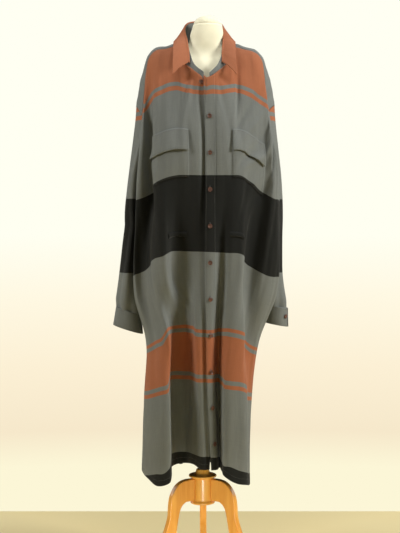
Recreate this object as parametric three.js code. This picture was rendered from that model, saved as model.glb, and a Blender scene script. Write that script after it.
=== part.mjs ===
// An oversized striped shirt dress standing on a limbless dress form with a turned wooden tripod.
// Millimetres, +Z up, the front faces -Y. The dress opens down the middle of the front, its left
// front (on +X) lapping over the right one.
import * as THREE from 'three';

// ---------------------------------------------------------------- driving dimensions
const CLOTH = 2;              // wall of a cloth panel
const SEAM_GAP = 0.3;         // clearance between pieces that are sewn or buttoned together
const NECK_POINT_Z = 1604;    // height where the shoulder meets the neck; cloth is measured down from it
const HALF_FRONT = 368;       // cloth from the button line to a side seam
const SEAM_EDGE = 367.7;      // where a panel ends, just short of the side seam
// How much lower the cloth hangs on each side, from and up to which distance from the button line.
const SIDE_DROP = { right: { depth: 72, from: 80, to: 295 }, left: { depth: 74, from: 85, to: 235 } };
const BUTTON = { radius: 6.5, thick: 2.6, rim: 1.2, first: 227, step: 105.5, count: 10 };
const TOP_BUTTON_Z = 1477;
const STAND_X = -10;           // the stand's axis, against the middle of the dress

// Cloth levels, as lengths of cloth below the neck point.
const LEVEL = { chest: 404, hip: 674, thigh: 814, knee: 964, hem: 1274 };
const LEVELS = ['chest', 'hip', 'thigh', 'knee', 'hem'];

// Turns short rows into rows with named columns.
function tableOf(columns, rows) {
  return rows.map((row) => Object.fromEntries(columns.map((name, i) => [name, row[i]])));
}

// One row for each fold line of the fronts: how far across the cloth it lies from the button line,
// where it hangs, as x and y, at each level, and the height of the hem there.
const FOLD_COLUMNS = ['fold', 'across', ...LEVELS, 'hemZ'];
const FRONT_FOLDS = tableOf(FOLD_COLUMNS, [
  ['right side seam', -368, [-170, 12], [-176, 12], [-172, 10], [-174, 8], [-184, 26], 350],
  ['right side', -339, [-182, -15], [-196, -12], [-176, -20], [-184, -36], [-194, -20], 341],
  ['right side crest', -305, [-204, -42], [-213, -38], [-178, -50], [-183, -74], [-190, -66], 336],
  ['right side turn', -277, [-205, -69], [-207, -62], [-168, -74], [-168, -104], [-170, -104], 323],
  ['right side slope', -256, [-189, -71], [-188, -56], [-155, -92], [-148, -127], [-144, -131], 309],
  ['right pleat', -222, [-164, -53], [-166, -76], [-130, -116], [-110, -144], [-104, -147], 321],
  ['right pleat wall', -199, [-152, -66], [-158, -97], [-110, -130], [-105, -122], [-99, -122], 337],
  ['right pleat floor', -184, [-153, -86], [-150, -109], [-106, -118], [-106, -104], [-100, -102], 345],
  ['right crest', -170, [-153, -103], [-139, -118], [-105, -104], [-107, -86], [-101, -80], 351],
  ['right chest edge', -153, [-142, -120], [-123, -128], [-99, -89], [-98, -66], [-92, -56], 354],
  ['right chest corner', -136, [-126, -126], [-110, -131], [-85, -78], [-84, -56], [-78, -45], 356],
  ['right chest', -119, [-109, -130], [-101, -115], [-69, -80], [-68, -58], [-62, -44], 357],
  ['right inner roll', -80, [-70, -132], [-74, -95], [-44, -107], [-46, -90], [-38, -78], 361],
  ['right of the buttons', -40, [-30, -132], [-33, -114], [-25, -129], [-24, -122], [-13, -112], 352],
  ['button line', 0, [11, -129], [11, -131], [11, -128], [12, -121], [28, -112], 351],
  ['left of the buttons', 40, [48, -131], [44, -112], [40, -99], [35, -82], [40, -76], 350],
  ['left inner roll', 80, [84, -129], [71, -132], [56, -127], [45, -112], [45, -104], 346],
  ['left chest edge', 105, [104, -122], [97, -135], [78, -137], [54, -135], [50, -128], 338],
  ['left crest', 125, [119, -111], [107, -122], [97, -133], [74, -139], [69, -136], 325],
  ['left pleat', 150, [138, -95], [106, -96], [114, -117], [99, -132], [93, -133], 314],
  ['left pleat turn', 165, [150, -86], [113, -84], [113, -103], [112, -124], [107, -128], 311],
  ['left pleat wall', 180, [165, -80], [128, -78], [111, -88], [119, -111], [119, -118], 308],
  ['left pleat floor', 195, [178, -84], [143, -82], [116, -75], [118, -96], [124, -104], 304],
  ['left small crest', 210, [190, -88], [158, -86], [128, -69], [119, -81], [126, -89], 301],
  ['left side slope', 240, [206, -78], [184, -76], [149, -58], [130, -58], [131, -60], 297],
  ['left side turn', 268, [214, -64], [203, -62], [157, -38], [137, -36], [131, -34], 299],
  ['left side crest', 290, [216, -46], [208, -44], [155, -18], [138, -14], [128, -12], 305],
  ['left side', 330, [194, -22], [184, -16], [147, 12], [131, 22], [127, 26], 326],
  ['left side seam', 368, [170, 12], [168, 14], [142, 40], [126, 54], [124, 62], 350],
]);

// The same for the back, from the right side seam round to the left one.
const BACK_FOLDS = tableOf(FOLD_COLUMNS, [
  ['right side seam', -368, [-170, 12], [-176, 12], [-172, 10], [-174, 8], [-184, 26], 350],
  ['right side', -334, [-177, 44], [-182, 46], [-180, 44], [-184, 44], [-193, 62], 346],
  ['right side crest', -300, [-166, 76], [-168, 80], [-168, 80], [-172, 84], [-178, 100], 338],
  ['right outer valley', -258, [-134, 90], [-130, 86], [-129, 84], [-128, 82], [-128, 86], 331],
  ['right outer crest', -216, [-108, 120], [-110, 128], [-111, 132], [-112, 136], [-112, 148], 327],
  ['right inner valley', -172, [-80, 110], [-78, 102], [-78, 98], [-78, 92], [-78, 90], 325],
  ['right inner crest', -126, [-52, 132], [-54, 138], [-56, 143], [-58, 148], [-58, 160], 324],
  ['right middle valley', -74, [-26, 121], [-25, 113], [-25, 108], [-25, 102], [-24, 98], 323],
  ['middle back', 0, [1, 132], [1, 136], [1, 141], [2, 146], [3, 158], 323],
  ['left middle valley', 74, [28, 121], [28, 112], [28, 107], [29, 102], [30, 98], 323],
  ['left inner crest', 126, [54, 132], [57, 139], [58, 143], [58, 148], [58, 160], 324],
  ['left inner valley', 172, [80, 109], [80, 101], [77, 99], [74, 97], [73, 95], 325],
  ['left outer crest', 216, [108, 120], [108, 130], [102, 134], [96, 140], [94, 150], 327],
  ['left outer valley', 258, [134, 91], [131, 89], [120, 94], [108, 101], [106, 108], 331],
  ['left side crest', 300, [161, 79], [162, 84], [144, 94], [126, 108], [126, 122], 338],
  ['left side', 334, [171, 45], [172, 48], [150, 68], [130, 80], [132, 92], 346],
  ['left side seam', 368, [170, 12], [168, 14], [142, 40], [126, 54], [124, 62], 350],
]);
const HEM_PARTING = 17;       // how far the right front swings aside at the hem, and over what height
const PARTING_HEIGHT = 96;

// Top edge of the fronts: the neckline, then the yoke seam over the shoulder and down the arm.
// fall is the cloth's length below the neck point there; toChest leads the cloth onto the chest.
const FRONT_TOP = [
  { place: 'right armhole', across: -368, at: [-189, -38, 1390], fall: 165, toChest: [2, -34, -90] },
  { place: 'right arm low', across: -339, at: [-186, -36, 1420], fall: 150, toChest: [0, -34, -90] },
  { place: 'right arm', across: -290, at: [-182, -33, 1468], fall: 116, toChest: [0, -32, -88] },
  { place: 'right arm high', across: -245, at: [-178, -31, 1514], fall: 78, toChest: [0, -34, -82] },
  { place: 'right shoulder turn', across: -205, at: [-169, -29, 1558], fall: 42, toChest: [0, -42, -66] },
  { place: 'right shoulder', across: -172, at: [-150, -28, 1580], fall: 20, toChest: [0, -52, -48] },
  { place: 'right mid shoulder', across: -130, at: [-117, -27, 1586], fall: 17, toChest: [0, -58, -40] },
  { place: 'right neck side', across: -95, at: [-84, -25, 1591], fall: 15, toChest: [0, -58, -46] },
  { place: 'right neck turn', across: -75, at: [-74, -62, 1552], fall: 57, toChest: [0, -40, -60] },
  { place: 'right neck', across: -42, at: [-43, -97, 1518], fall: 88, toChest: [0, -20, -80] },
  { place: 'throat', across: 0, at: [9, -116, 1491], fall: 114, toChest: [0, -8, -90] },
  { place: 'left neck', across: 42, at: [45, -97, 1518], fall: 88, toChest: [0, -20, -80] },
  { place: 'left neck turn', across: 75, at: [71, -62, 1552], fall: 57, toChest: [0, -40, -60] },
  { place: 'left neck side', across: 95, at: [80, -25, 1591], fall: 15, toChest: [0, -58, -46] },
  { place: 'left mid shoulder', across: 130, at: [113, -27, 1584], fall: 17, toChest: [0, -58, -40] },
  { place: 'left shoulder', across: 172, at: [147, -28, 1574], fall: 20, toChest: [0, -52, -48] },
  { place: 'left shoulder turn', across: 205, at: [165, -29, 1551], fall: 42, toChest: [0, -42, -66] },
  { place: 'left arm high', across: 245, at: [172, -31, 1512], fall: 78, toChest: [0, -34, -82] },
  { place: 'left arm', across: 290, at: [175, -33, 1470], fall: 116, toChest: [0, -32, -88] },
  { place: 'left arm low', across: 339, at: [176, -36, 1424], fall: 150, toChest: [0, -34, -90] },
  { place: 'left armhole', across: 368, at: [178, -36, 1396], fall: 165, toChest: [2, -30, -90] },
];
// Where the corners of the two fronts lie at the throat, which is left open.
const THROAT = {
  right: [[-20, [-18, -113, 1499]], [0, [-3, -113, 1490]], [14, [2, -110, 1484]]],
  left: [[-13, [1, -119, 1489]], [0, [10, -117, 1492]], [17, [23, -112, 1499]]],
};
const YOKE_BULGE = { right: 26, left: 36 };   // how far the yoke stands out over each arm

// Seam between the back and the yoke, from the middle outwards, the same on both sides.
const BACK_TOP = [
  { place: 'middle', across: 0, at: [0, 104, 1500], fall: 118 },
  { place: 'mid back', across: 80, at: [80, 102, 1498], fall: 119 },
  { place: 'blade', across: 140, at: [130, 92, 1494], fall: 122 },
  { place: 'shoulder turn', across: 195, at: [166, 76, 1480], fall: 132 },
  { place: 'arm', across: 258, at: [182, 66, 1448], fall: 150 },
  { place: 'arm low', across: 315, at: [186, 63, 1408], fall: 168 },
  { place: 'armhole', across: 368, at: [188, 62, 1374], fall: 182 },
];

// The collar from the middle back forwards: how far across the neckline it is sewn, where its fold
// line and its free edge lie there, and how far the fold leans to the right side of the neck.
const COLLAR = [
  { place: 'middle back', across: 0, fold: [0, 70, 1680], edge: [0, 106, 1618], lean: -6 },
  { place: 'back side', across: 45, fold: [42, 54, 1675], edge: [57, 84, 1616], lean: -6 },
  { place: 'neck side', across: 75, fold: [57, 12, 1650], edge: [80, 28, 1614], lean: -6 },
  { place: 'before the shoulder', across: 95, fold: [53, -28, 1608], edge: [85, -38, 1599], lean: -3 },
  { place: 'front side', across: 75, fold: [49, -60, 1570], edge: [87, -88, 1550], lean: -2 },
  { place: 'leaf end', across: 42, fold: [48, -86, 1533], edge: [88, -122, 1494], lean: -1 },
];
const COLLAR_EDGE_LEAN = -5;
const STAND_ENDS = {
  right: { base: [-8, -114.5, 1493.6], top: [-8, -111, 1505] },
  left: { base: [8, -116.5, 1493], top: [9, -113, 1505] },
};
const LEAF_ROLL = 2;          // how far the collar leaf bows out between its fold and its edge

// The sleeves, as level ovals: height, middle and half sizes. hang names the wearer's side.
const SLEEVES = {
  right: [
    { z: 1066, x: -221, y: 30, halfX: 23, halfY: 61 },
    { z: 990, x: -227, y: 28, halfX: 25, halfY: 59 },
    { z: 910, x: -232, y: 24, halfX: 28, halfY: 56 },
  ],
  left: [
    { z: 1066, x: 208, y: 50, halfX: 22, halfY: 58 },
    { z: 990, x: 205, y: 50, halfX: 24, halfY: 55 },
    { z: 910, x: 206, y: 48, halfX: 26, halfY: 50 },
  ],
};
const SLEEVE_CREASE = { count: 5, depth: 3.4, drift: 0.9 };
// Each cuff: its top and bottom ovals, its outer top height, how much its inner side hangs lower,
// and where it is slit.
const CUFFS = {
  right: {
    topZ: 822,
    tilt: -28,
    slit: 'back',
    top: { x: -233, y: 13, halfX: 38, halfY: 41 },
    bottom: { x: -235, y: 8, halfX: 45, halfY: 40 },
  },
  left: {
    topZ: 814,
    tilt: 13,
    slit: 'side',
    top: { x: 214, y: 33, halfX: 35, halfY: 39 },
    bottom: { x: 214, y: 30, halfX: 36, halfY: 38 },
  },
};
const CUFF_DEPTH = 56;
const CUFF_SLIT = 9;          // opening between a cuff's ends

// Pockets, by their cloth rows and columns on the fronts.
const POCKET = { top: 271, flapEnd: 329, end: 404 };
const HIP_WELT = { top: 560, end: 574 };
const POCKET_ACROSS = { right: [-170, -60], left: [70, 180] };
const WELT_ACROSS = { right: [-119, -60], left: [70, 115] };
const FLAP_FLARE = 5;         // how far a flap's free edge stands off its pocket
const POCKET_WALL = 1.5;
const FLAP_WALL = 2;
const WELT_WALL = 1.6;

// Rows of the fronts below the pocket tops, as lengths of cloth.
const FRONT_ROWS = [POCKET.top, 297, POCKET.flapEnd, 362, LEVEL.chest, 455, 507,
  HIP_WELT.top, HIP_WELT.end, 630, 695, 765, 835, 905, 980, 1055, 1130];
const BACK_ROWS = [250, 325, LEVEL.chest, 480, 560, 640, 725, 810, 900, 990, 1080];
const TOP_ROWS = [0.004, 0.1, 0.35, 0.68];  // rows between a panel's top edge and its first fixed row
const HEM_BAND = 26;          // depth of the lowest row of panels
const FRONT_COLUMNS = {
  right: [-SEAM_EDGE, -354, -339, -322, -305, -291, -277, -256, -239, -222, -210, -199, -184, -170,
    -153, -136, -119, -100, -80, -60, -40, -30, -20, 0, 14],
  left: [-13, 0, 17, 28, 40, 60, 70, 80, 92, 105, 115, 125, 137, 150, 165, 180, 195, 210, 225, 240,
    254, 268, 279, 290, 310, 330, 349, SEAM_EDGE],
};
const BACK_COLUMNS = [SEAM_EDGE, 350, 334, 316, 300, 278, 258, 237, 216, 194, 172, 150, 126, 100, 74, 38,
  0, -38, -74, -100, -126, -150, -172, -194, -216, -237, -258, -278, -300, -316, -334, -350, -SEAM_EDGE];

// The dress form, as level ovals: height, half width, and how far its front and back reach.
const FORM = [
  { z: 884, half: 140, front: -86, back: 84 },
  { z: 890, half: 147, front: -92, back: 90 },
  { z: 960, half: 158, front: -98, back: 98 },
  { z: 1050, half: 156, front: -98, back: 100 },
  { z: 1150, half: 136, front: -90, back: 88 },
  { z: 1230, half: 120, front: -84, back: 76 },
  { z: 1320, half: 132, front: -98, back: 84 },
  { z: 1400, half: 148, front: -108, back: 92 },
  { z: 1460, half: 156, front: -98, back: 94 },
  { z: 1510, half: 160, front: -78, back: 88 },
  { z: 1545, half: 157, front: -60, back: 74 },
  { z: 1562, half: 145, front: -48, back: 62 },
  { z: 1575, half: 112, front: -44, back: 56 },
  { z: 1586, half: 74, front: -44, back: 52 },
  { z: 1600, half: 55, front: -46, back: 48 },
  { z: 1630, half: 50, front: -46, back: 44 },
  { z: 1660, half: 43, front: -42, back: 42 },
];
const FORM_X = 0;
const NECK_TILT = { from: 1600, by: 5 };    // the neck leans this far to the left at its top
const FORM_SIDES = 30;
const CAP = { radius: 41, lip: 42, height: 28 };

// The stand: pole, turned hub and three sawn legs.
const POLE_RADIUS = 10;
const HUB = { radius: 31.5, foot: 37, bottom: 227, flare: 238, top: 305 };
const DISC = { radius: 42, thick: 9, neck: 21, neckTop: 330 };
const LEG = { thick: 20, bevel: 2, bearings: [89, 210, 330] };
// Outline of a leg's board, as distance from the stand's axis and height, from its top to its foot.
const LEG_OUTER = [[56, 304], [74, 300], [90, 290], [103, 273], [111, 254], [115, 228], [117, 198],
  [126, 167], [141, 132], [164, 94], [195, 56], [226, 33], [247, 26]];
const LEG_INNER = [[205, 0], [180, 20], [150, 54], [119, 100], [98, 140], [91, 172], [86, 198],
  [81, 217], [73, 230], [62, 238]];

// ---------------------------------------------------------------- small tools
const v3 = (p) => new THREE.Vector3(...p);
const lerp = (a, b, t) => a + (b - a) * t;
const smooth = (t) => {
  const c = Math.min(1, Math.max(0, t));
  return c * c * (3 - 2 * c);
};

// A smooth function of one number through the given keys and values.
function through(keys, values) {
  const n = keys.length;
  const secant = (i) => (values[i + 1] - values[i]) / (keys[i + 1] - keys[i]);
  const slope = values.map((_, i) => {
    if (i === 0) return secant(0);
    if (i === n - 1) return secant(n - 2);
    return (secant(i - 1) + secant(i)) / 2;
  });
  return (key) => {
    let i = 0;
    while (i < n - 2 && key > keys[i + 1]) i += 1;
    const span = keys[i + 1] - keys[i];
    const t = Math.min(1, Math.max(0, (key - keys[i]) / span));
    const t2 = t * t;
    const t3 = t2 * t;
    return (2 * t3 - 3 * t2 + 1) * values[i] + (t3 - 2 * t2 + t) * span * slope[i]
      + (3 * t2 - 2 * t3) * values[i + 1] + (t3 - t2) * span * slope[i + 1];
  };
}

// The same for points, from a table's column.
function pointsThrough(keys, points) {
  const axes = points[0].map((_, axis) => through(keys, points.map((p) => p[axis])));
  return (key) => axes.map((f) => f(key));
}

// A point of a curve at a fraction of its length.
function curveAt(a, b, c, d, t) {
  return new THREE.CubicBezierCurve3(a, b, c, d).getPointAt(Math.min(1, Math.max(0, t)));
}

// ---------------------------------------------------------------- solids from grids
// grid[row][column] is a cloth's outer side. Its rows run down, its columns anticlockwise from above.
function normalsOf(grid, wrap) {
  const columns = grid[0].length;
  return grid.map((row, i) => row.map((_, j) => {
    const left = wrap ? (j + columns - 1) % columns : Math.max(0, j - 1);
    const right = wrap ? (j + 1) % columns : Math.min(columns - 1, j + 1);
    const along = row[right].clone().sub(row[left]);
    const down = grid[Math.min(grid.length - 1, i + 1)][j].clone().sub(grid[Math.max(0, i - 1)][j]);
    return down.cross(along).normalize();
  }));
}

function solid(vertices, faces) {
  const geometry = new THREE.BufferGeometry();
  const numbers = vertices.flatMap((p) => p.toArray());
  geometry.setAttribute('position', new THREE.Float32BufferAttribute(numbers, 3));
  geometry.setIndex(faces.flat());
  return geometry;
}

// A wall between two equal grids of points, closed at its edges.
function wallBetween(outer, inner, wrap) {
  const rows = outer.length;
  const columns = outer[0].length;
  const vertices = [...outer.flat(), ...inner.flat()];
  const out = (i, j) => i * columns + (j % columns);
  const inn = (i, j) => rows * columns + out(i, j);
  const faces = [];
  const quad = (a, b, c, d) => faces.push([a, b, c], [a, c, d]);
  const last = wrap ? columns : columns - 1;
  for (let i = 0; i < rows - 1; i += 1) {
    for (let j = 0; j < last; j += 1) {
      quad(out(i, j), out(i + 1, j), out(i + 1, j + 1), out(i, j + 1));
      quad(inn(i, j), inn(i, j + 1), inn(i + 1, j + 1), inn(i + 1, j));
    }
  }
  for (let j = 0; j < last; j += 1) {
    quad(out(0, j), out(0, j + 1), inn(0, j + 1), inn(0, j));
    quad(out(rows - 1, j + 1), out(rows - 1, j), inn(rows - 1, j), inn(rows - 1, j + 1));
  }
  if (!wrap) {
    for (let i = 0; i < rows - 1; i += 1) {
      quad(out(i + 1, 0), out(i, 0), inn(i, 0), inn(i + 1, 0));
      quad(out(i, columns - 1), out(i + 1, columns - 1), inn(i + 1, columns - 1), inn(i, columns - 1));
    }
  }
  return solid(vertices, faces);
}

const moved = (grid, normals, distance) => grid.map((row, i) => row.map((p, j) => {
  const by = typeof distance === 'function' ? distance(i, j) : distance;
  return p.clone().addScaledVector(normals[i][j], by);
}));

function clothWall(grid, { thickness = CLOTH, wrap = false } = {}) {
  return wallBetween(grid, moved(grid, normalsOf(grid, wrap), -thickness), wrap);
}

// A closed solid from level rings, flat at its two ends.
function loft(rings) {
  const sides = rings[0].length;
  const vertices = rings.flat();
  const faces = [];
  for (let i = 0; i < rings.length - 1; i += 1) {
    for (let j = 0; j < sides; j += 1) {
      const [a, b] = [i * sides + j, i * sides + ((j + 1) % sides)];
      faces.push([a, b, b + sides], [a, b + sides, a + sides]);
    }
  }
  for (const [ring, turn] of [[0, false], [rings.length - 1, true]]) {
    const middle = vertices.length;
    const centre = new THREE.Vector3();
    rings[ring].forEach((p) => centre.addScaledVector(p, 1 / sides));
    vertices.push(centre);
    for (let j = 0; j < sides; j += 1) {
      const [a, b] = [ring * sides + j, ring * sides + ((j + 1) % sides)];
      faces.push(turn ? [middle, a, b] : [middle, b, a]);
    }
  }
  return solid(vertices, faces);
}

// ---------------------------------------------------------------- the hang of the cloth
function sideDrop(across) {
  const { depth, from, to } = SIDE_DROP[across < 0 ? 'right' : 'left'];
  return depth * smooth((Math.abs(across) - from) / (to - from));
}
function hemFallOf(folds) {
  const hemZ = through(folds.map((row) => row.across), folds.map((row) => row.hemZ));
  return (across) => NECK_POINT_Z - sideDrop(across) - hemZ(across);
}
const frontHemFall = hemFallOf(FRONT_FOLDS);
const backHemFall = hemFallOf(BACK_FOLDS);

// Where the cloth hangs at a level: a point for each fold table, distance across and fall.
function hangOf(folds) {
  const keys = folds.map((row) => row.across);
  const atLevel = LEVELS.map((level) => pointsThrough(keys, folds.map((row) => row[level])));
  const falls = LEVELS.map((level) => LEVEL[level]);
  return (across, fall) => {
    const points = atLevel.map((at) => at(across));
    const [x, y] = pointsThrough(falls, points)(fall);
    return new THREE.Vector3(x, y, NECK_POINT_Z - fall - sideDrop(across));
  };
}
const hangFront = hangOf(FRONT_FOLDS);
const hangBack = hangOf(BACK_FOLDS);

function hangSlope(hang, across) {
  const step = 20;
  return hang(across, LEVEL.chest + step).sub(hang(across, LEVEL.chest)).divideScalar(step);
}

// The armhole seam bows forward or back between its top and the underarm.
const ARMHOLE_BOW = { front: -25, back: 56 };
function chestLead(hang, across, bow) {
  const edge = smooth((Math.abs(across) - 300) / (HALF_FRONT - 300));
  const lead = lerp(140, 78, edge);
  const out = Math.sign(across) * 12 * edge;
  return hangSlope(hang, across).multiplyScalar(-lead)
    .add(new THREE.Vector3(out, bow * edge, 0));
}

const frontTopKeys = FRONT_TOP.map((row) => row.across);
const frontTopAt = pointsThrough(frontTopKeys, FRONT_TOP.map((row) => row.at));
const frontTopLead = pointsThrough(frontTopKeys, FRONT_TOP.map((row) => row.toChest));
const frontTopFall = through(frontTopKeys, FRONT_TOP.map((row) => row.fall));

function frontPoint(across, fall) {
  if (fall >= LEVEL.chest) return hangFront(across, fall);
  const top = v3(frontTopAt(across));
  const chest = hangFront(across, LEVEL.chest);
  const fromTop = top.clone().add(v3(frontTopLead(across)));
  const toChest = chest.clone().add(chestLead(hangFront, across, ARMHOLE_BOW.front));
  const start = frontTopFall(across);
  return curveAt(top, fromTop, toChest, chest, (fall - start) / (LEVEL.chest - start));
}

const backTopKeys = BACK_TOP.map((row) => row.across);
const backTopPoint = pointsThrough(backTopKeys, BACK_TOP.map((row) => row.at));
const backTopFall = through(backTopKeys, BACK_TOP.map((row) => row.fall));
const BACK_LEAD = [0, 20, -60];
function backTopAt(across) {
  const [x, y, z] = backTopPoint(Math.abs(across));
  const low = frontTopAt(Math.sign(across) * HALF_FRONT)[0] / 187;
  const reach = Math.abs(across) < 1 ? 0 : Math.abs(low) * Math.sign(across);
  return new THREE.Vector3(x * reach, y, z);
}

function backPoint(across, fall) {
  if (fall >= LEVEL.chest) return hangBack(across, fall);
  const top = backTopAt(across);
  const chest = hangBack(across, LEVEL.chest);
  const fromTop = top.clone().add(v3(BACK_LEAD));
  const toChest = chest.clone().add(chestLead(hangBack, across, ARMHOLE_BOW.back));
  const start = backTopFall(Math.abs(across));
  return curveAt(top, fromTop, toChest, chest, (fall - start) / (LEVEL.chest - start));
}

// Rows of one panel: from its top edge, through the fixed cloth rows, to its hem.
function panelRows(columns, point, topFall, fixedRows, hemFall) {
  const rows = [];
  const addRow = (fallAt) => rows.push(columns.map((across) => point(across, fallAt(across))));
  TOP_ROWS.forEach((t) => addRow((across) => lerp(topFall(across), fixedRows[0], t)));
  fixedRows.forEach((fall) => addRow(() => fall));
  [HEM_BAND, 0].forEach((above) => addRow((across) => hemFall(across) - above));
  return rows;
}

// ---------------------------------------------------------------- finishes
const finish = (color, roughness, metalness = 0) => (
  () => new THREE.MeshStandardMaterial({ color, roughness, metalness })
);
const greyCloth = finish(0x66695f, 0.95);
const rustCloth = finish(0xa0643f, 0.95);
const linen = finish(0xf0e6c8, 0.9);
const horn = finish(0x6b3a24, 0.35);
const beech = finish(0xd08a2e, 0.4);
const steel = finish(0x8c8c8c, 0.3, 1);

const model = new THREE.Group();
function add(name, geometry, material, parent = model) {
  const mesh = new THREE.Mesh(geometry, material());
  mesh.name = name;
  parent.add(mesh);
  return mesh;
}

// ---------------------------------------------------------------- fronts, pockets and placket
const UNDERLAP = CLOTH + 6 * SEAM_GAP;
function frontGrid(side) {
  const columns = FRONT_COLUMNS[side];
  const grid = panelRows(columns, frontPoint, frontTopFall, FRONT_ROWS, frontHemFall);
  THROAT[side].forEach(([across, at]) => grid[0][columns.indexOf(across)].set(...at));
  if (side === 'left') return grid;
  grid.forEach((row) => row.forEach((p, j) => {
    const above = p.z - NECK_POINT_Z + frontHemFall(columns[j]) + sideDrop(columns[j]);
    p.x -= HEM_PARTING * smooth(1 - above / PARTING_HEIGHT) * smooth(1 - (14 - columns[j]) / 54);
  }));
  // The right front passes behind the left one at the buttons.
  const under = (i, j) => -UNDERLAP * smooth((columns[j] + 42) / 24);
  return moved(grid, normalsOf(grid, false), under);
}

// A piece that lies on a panel: the panel's own points between two columns and two rows, moved out.
function layOn(grid, columns, [from, to], [top, end], lift, thickness) {
  const rowOf = (fall) => TOP_ROWS.length + FRONT_ROWS.indexOf(fall);
  const keep = (rows) => rows.slice(rowOf(top), rowOf(end) + 1)
    .map((row) => row.slice(columns.indexOf(from), columns.indexOf(to) + 1));
  const normals = keep(normalsOf(grid, false));
  const part = keep(grid);
  const inner = moved(part, normals, lift);
  const outer = moved(part, normals, (i, j) => lift(i, j) + thickness);
  return wallBetween(outer, inner, false);
}

const grids = {};
for (const side of ['right', 'left']) {
  const grid = frontGrid(side);
  const columns = FRONT_COLUMNS[side];
  grids[side] = grid;
  add(`front_${side}`, clothWall(grid), greyCloth);
  const laid = (across, rows, lift, thickness) => layOn(grid, columns, across, rows, lift, thickness);
  const close = () => SEAM_GAP;
  const overPocket = (i) => POCKET_WALL + 2 * SEAM_GAP + FLAP_FLARE * (i / 2);
  const pocketAcross = POCKET_ACROSS[side];
  add(`pocket_${side}`, laid(pocketAcross, [POCKET.top, POCKET.end], close, POCKET_WALL), greyCloth);
  add(`flap_${side}`, laid(pocketAcross, [POCKET.top, POCKET.flapEnd], overPocket, FLAP_WALL), greyCloth);
  add(`welt_${side}`, laid(WELT_ACROSS[side], [HIP_WELT.top, HIP_WELT.end], close, WELT_WALL), greyCloth);
}

const PLACKET_WALL = 1.6;
const placketGrid = grids.left.map((row) => row.slice(0, 3));
const placketNormals = normalsOf(grids.left, false).map((row) => row.slice(0, 3));
add('placket', wallBetween(moved(placketGrid, placketNormals, SEAM_GAP + PLACKET_WALL),
  moved(placketGrid, placketNormals, SEAM_GAP), false), greyCloth);

// ---------------------------------------------------------------- buttons
// A flat turned button with a raised rim, its axis along +Z before it is placed.
function buttonGeometry() {
  const { radius, thick, rim } = BUTTON;
  const profile = [[0, 0], [radius - 0.8, 0], [radius, 0.8], [radius, thick - 0.4], [radius - rim, thick],
    [radius - 2 * rim, thick - 0.7], [0, thick - 0.7]].map((p) => new THREE.Vector2(...p));
  return new THREE.LatheGeometry(profile, 12).rotateX(Math.PI / 2);
}

function placeButton(name, seat, lift) {
  const button = add(name, buttonGeometry(), horn);
  button.quaternion.setFromUnitVectors(new THREE.Vector3(0, 0, 1), seat.outward);
  button.position.copy(seat.point).addScaledVector(seat.outward, lift);
}

// The point and the outward direction on one column of a panel, at a given height.
function seatOn(grid, column, z) {
  const normals = normalsOf(grid, false);
  let i = 0;
  while (grid[i + 1][column].z > z) i += 1;
  const [above, below] = [grid[i][column], grid[i + 1][column]];
  const t = (above.z - z) / (above.z - below.z);
  return {
    point: above.clone().lerp(below, t),
    outward: normals[i][column].clone().lerp(normals[i + 1][column], t).normalize(),
  };
}
for (let i = 0; i < BUTTON.count; i += 1) {
  const z = NECK_POINT_Z - BUTTON.first - i * BUTTON.step;
  const seat = seatOn(grids.left, FRONT_COLUMNS.left.indexOf(0), z);
  placeButton(`button_${String(i + 2).padStart(2, '0')}`, seat, PLACKET_WALL + 4 * SEAM_GAP);
}
// The top button is left undone, on the right front.
const topSeat = seatOn(grids.right, FRONT_COLUMNS.right.indexOf(-20), TOP_BUTTON_Z);
placeButton('button_01', topSeat, 3 * SEAM_GAP);

// ---------------------------------------------------------------- back and yoke
const backStart = (across) => backTopFall(Math.abs(across));
const backGrid = panelRows(BACK_COLUMNS, backPoint, backStart, BACK_ROWS, backHemFall);
add('back', clothWall(backGrid), greyCloth);

// The yoke runs from the back seam over the shoulders to the front seam, and round behind the neck.
const YOKE_ROWS = 6;
const YOKE_COLUMNS = [-368, -339, -312, -290, -266, -245, -224, -205, -188, -172, -151, -130, -112, -95,
  -70, -45, -22, 0, 22, 45, 70, 95, 112, 130, 151, 172, 188, 205, 224, 245, 266, 290, 312, 339, 368];
const NECK_SIDE = 95;
const NECK_LEAN = 84 / 80;      // the neckline reaches this much further out on the right
const neckKeys = [0, 45, 75, NECK_SIDE];
const neckAt = pointsThrough(neckKeys, [[0, 69, 1614], [45, 56, 1612], [72, 14, 1607], [80, -25, 1592]]);
function yokeStart(across) {
  const a = Math.abs(across);
  if (a >= NECK_SIDE) return v3(frontTopAt(across));
  const [x, y, z] = neckAt(a);
  const side = Math.sign(across) || 1;
  return new THREE.Vector3(x * side * (side < 0 ? NECK_LEAN : 1), y, z);
}
function yokePoint(across, t) {
  const a = Math.abs(across);
  const side = Math.sign(across);
  const front = yokeStart(across);
  const back = backTopAt(across);
  const arm = smooth((a - 150) / (HALF_FRONT - 150));
  const neck = smooth((NECK_SIDE - a) / 50);
  const out = side * YOKE_BULGE[side < 0 ? 'right' : 'left'] * arm;
  const fromFront = front.clone().add(new THREE.Vector3(out, lerp(lerp(30, 22, arm), 16, neck),
    lerp(lerp(30, 42, arm), -14, neck)));
  const toBack = back.clone().add(new THREE.Vector3(out, lerp(lerp(-16, -22, arm), -4, neck),
    lerp(lerp(92, 56, arm), 52, neck)));
  return curveAt(back, toBack, fromFront, front, t);
}
// The yoke is drawn in a little at its seams, so that it stays clear of the panels that it joins.
const SEAM_INSET = 0.004;
const yokeGrid = [];
for (let i = 0; i <= YOKE_ROWS; i += 1) {
  const t = lerp(SEAM_INSET, 1 - 5 * SEAM_INSET, i / YOKE_ROWS);
  yokeGrid.push(YOKE_COLUMNS.map((across) => yokePoint(across, t)));
}
add('yoke', clothWall(yokeGrid), greyCloth);

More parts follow.
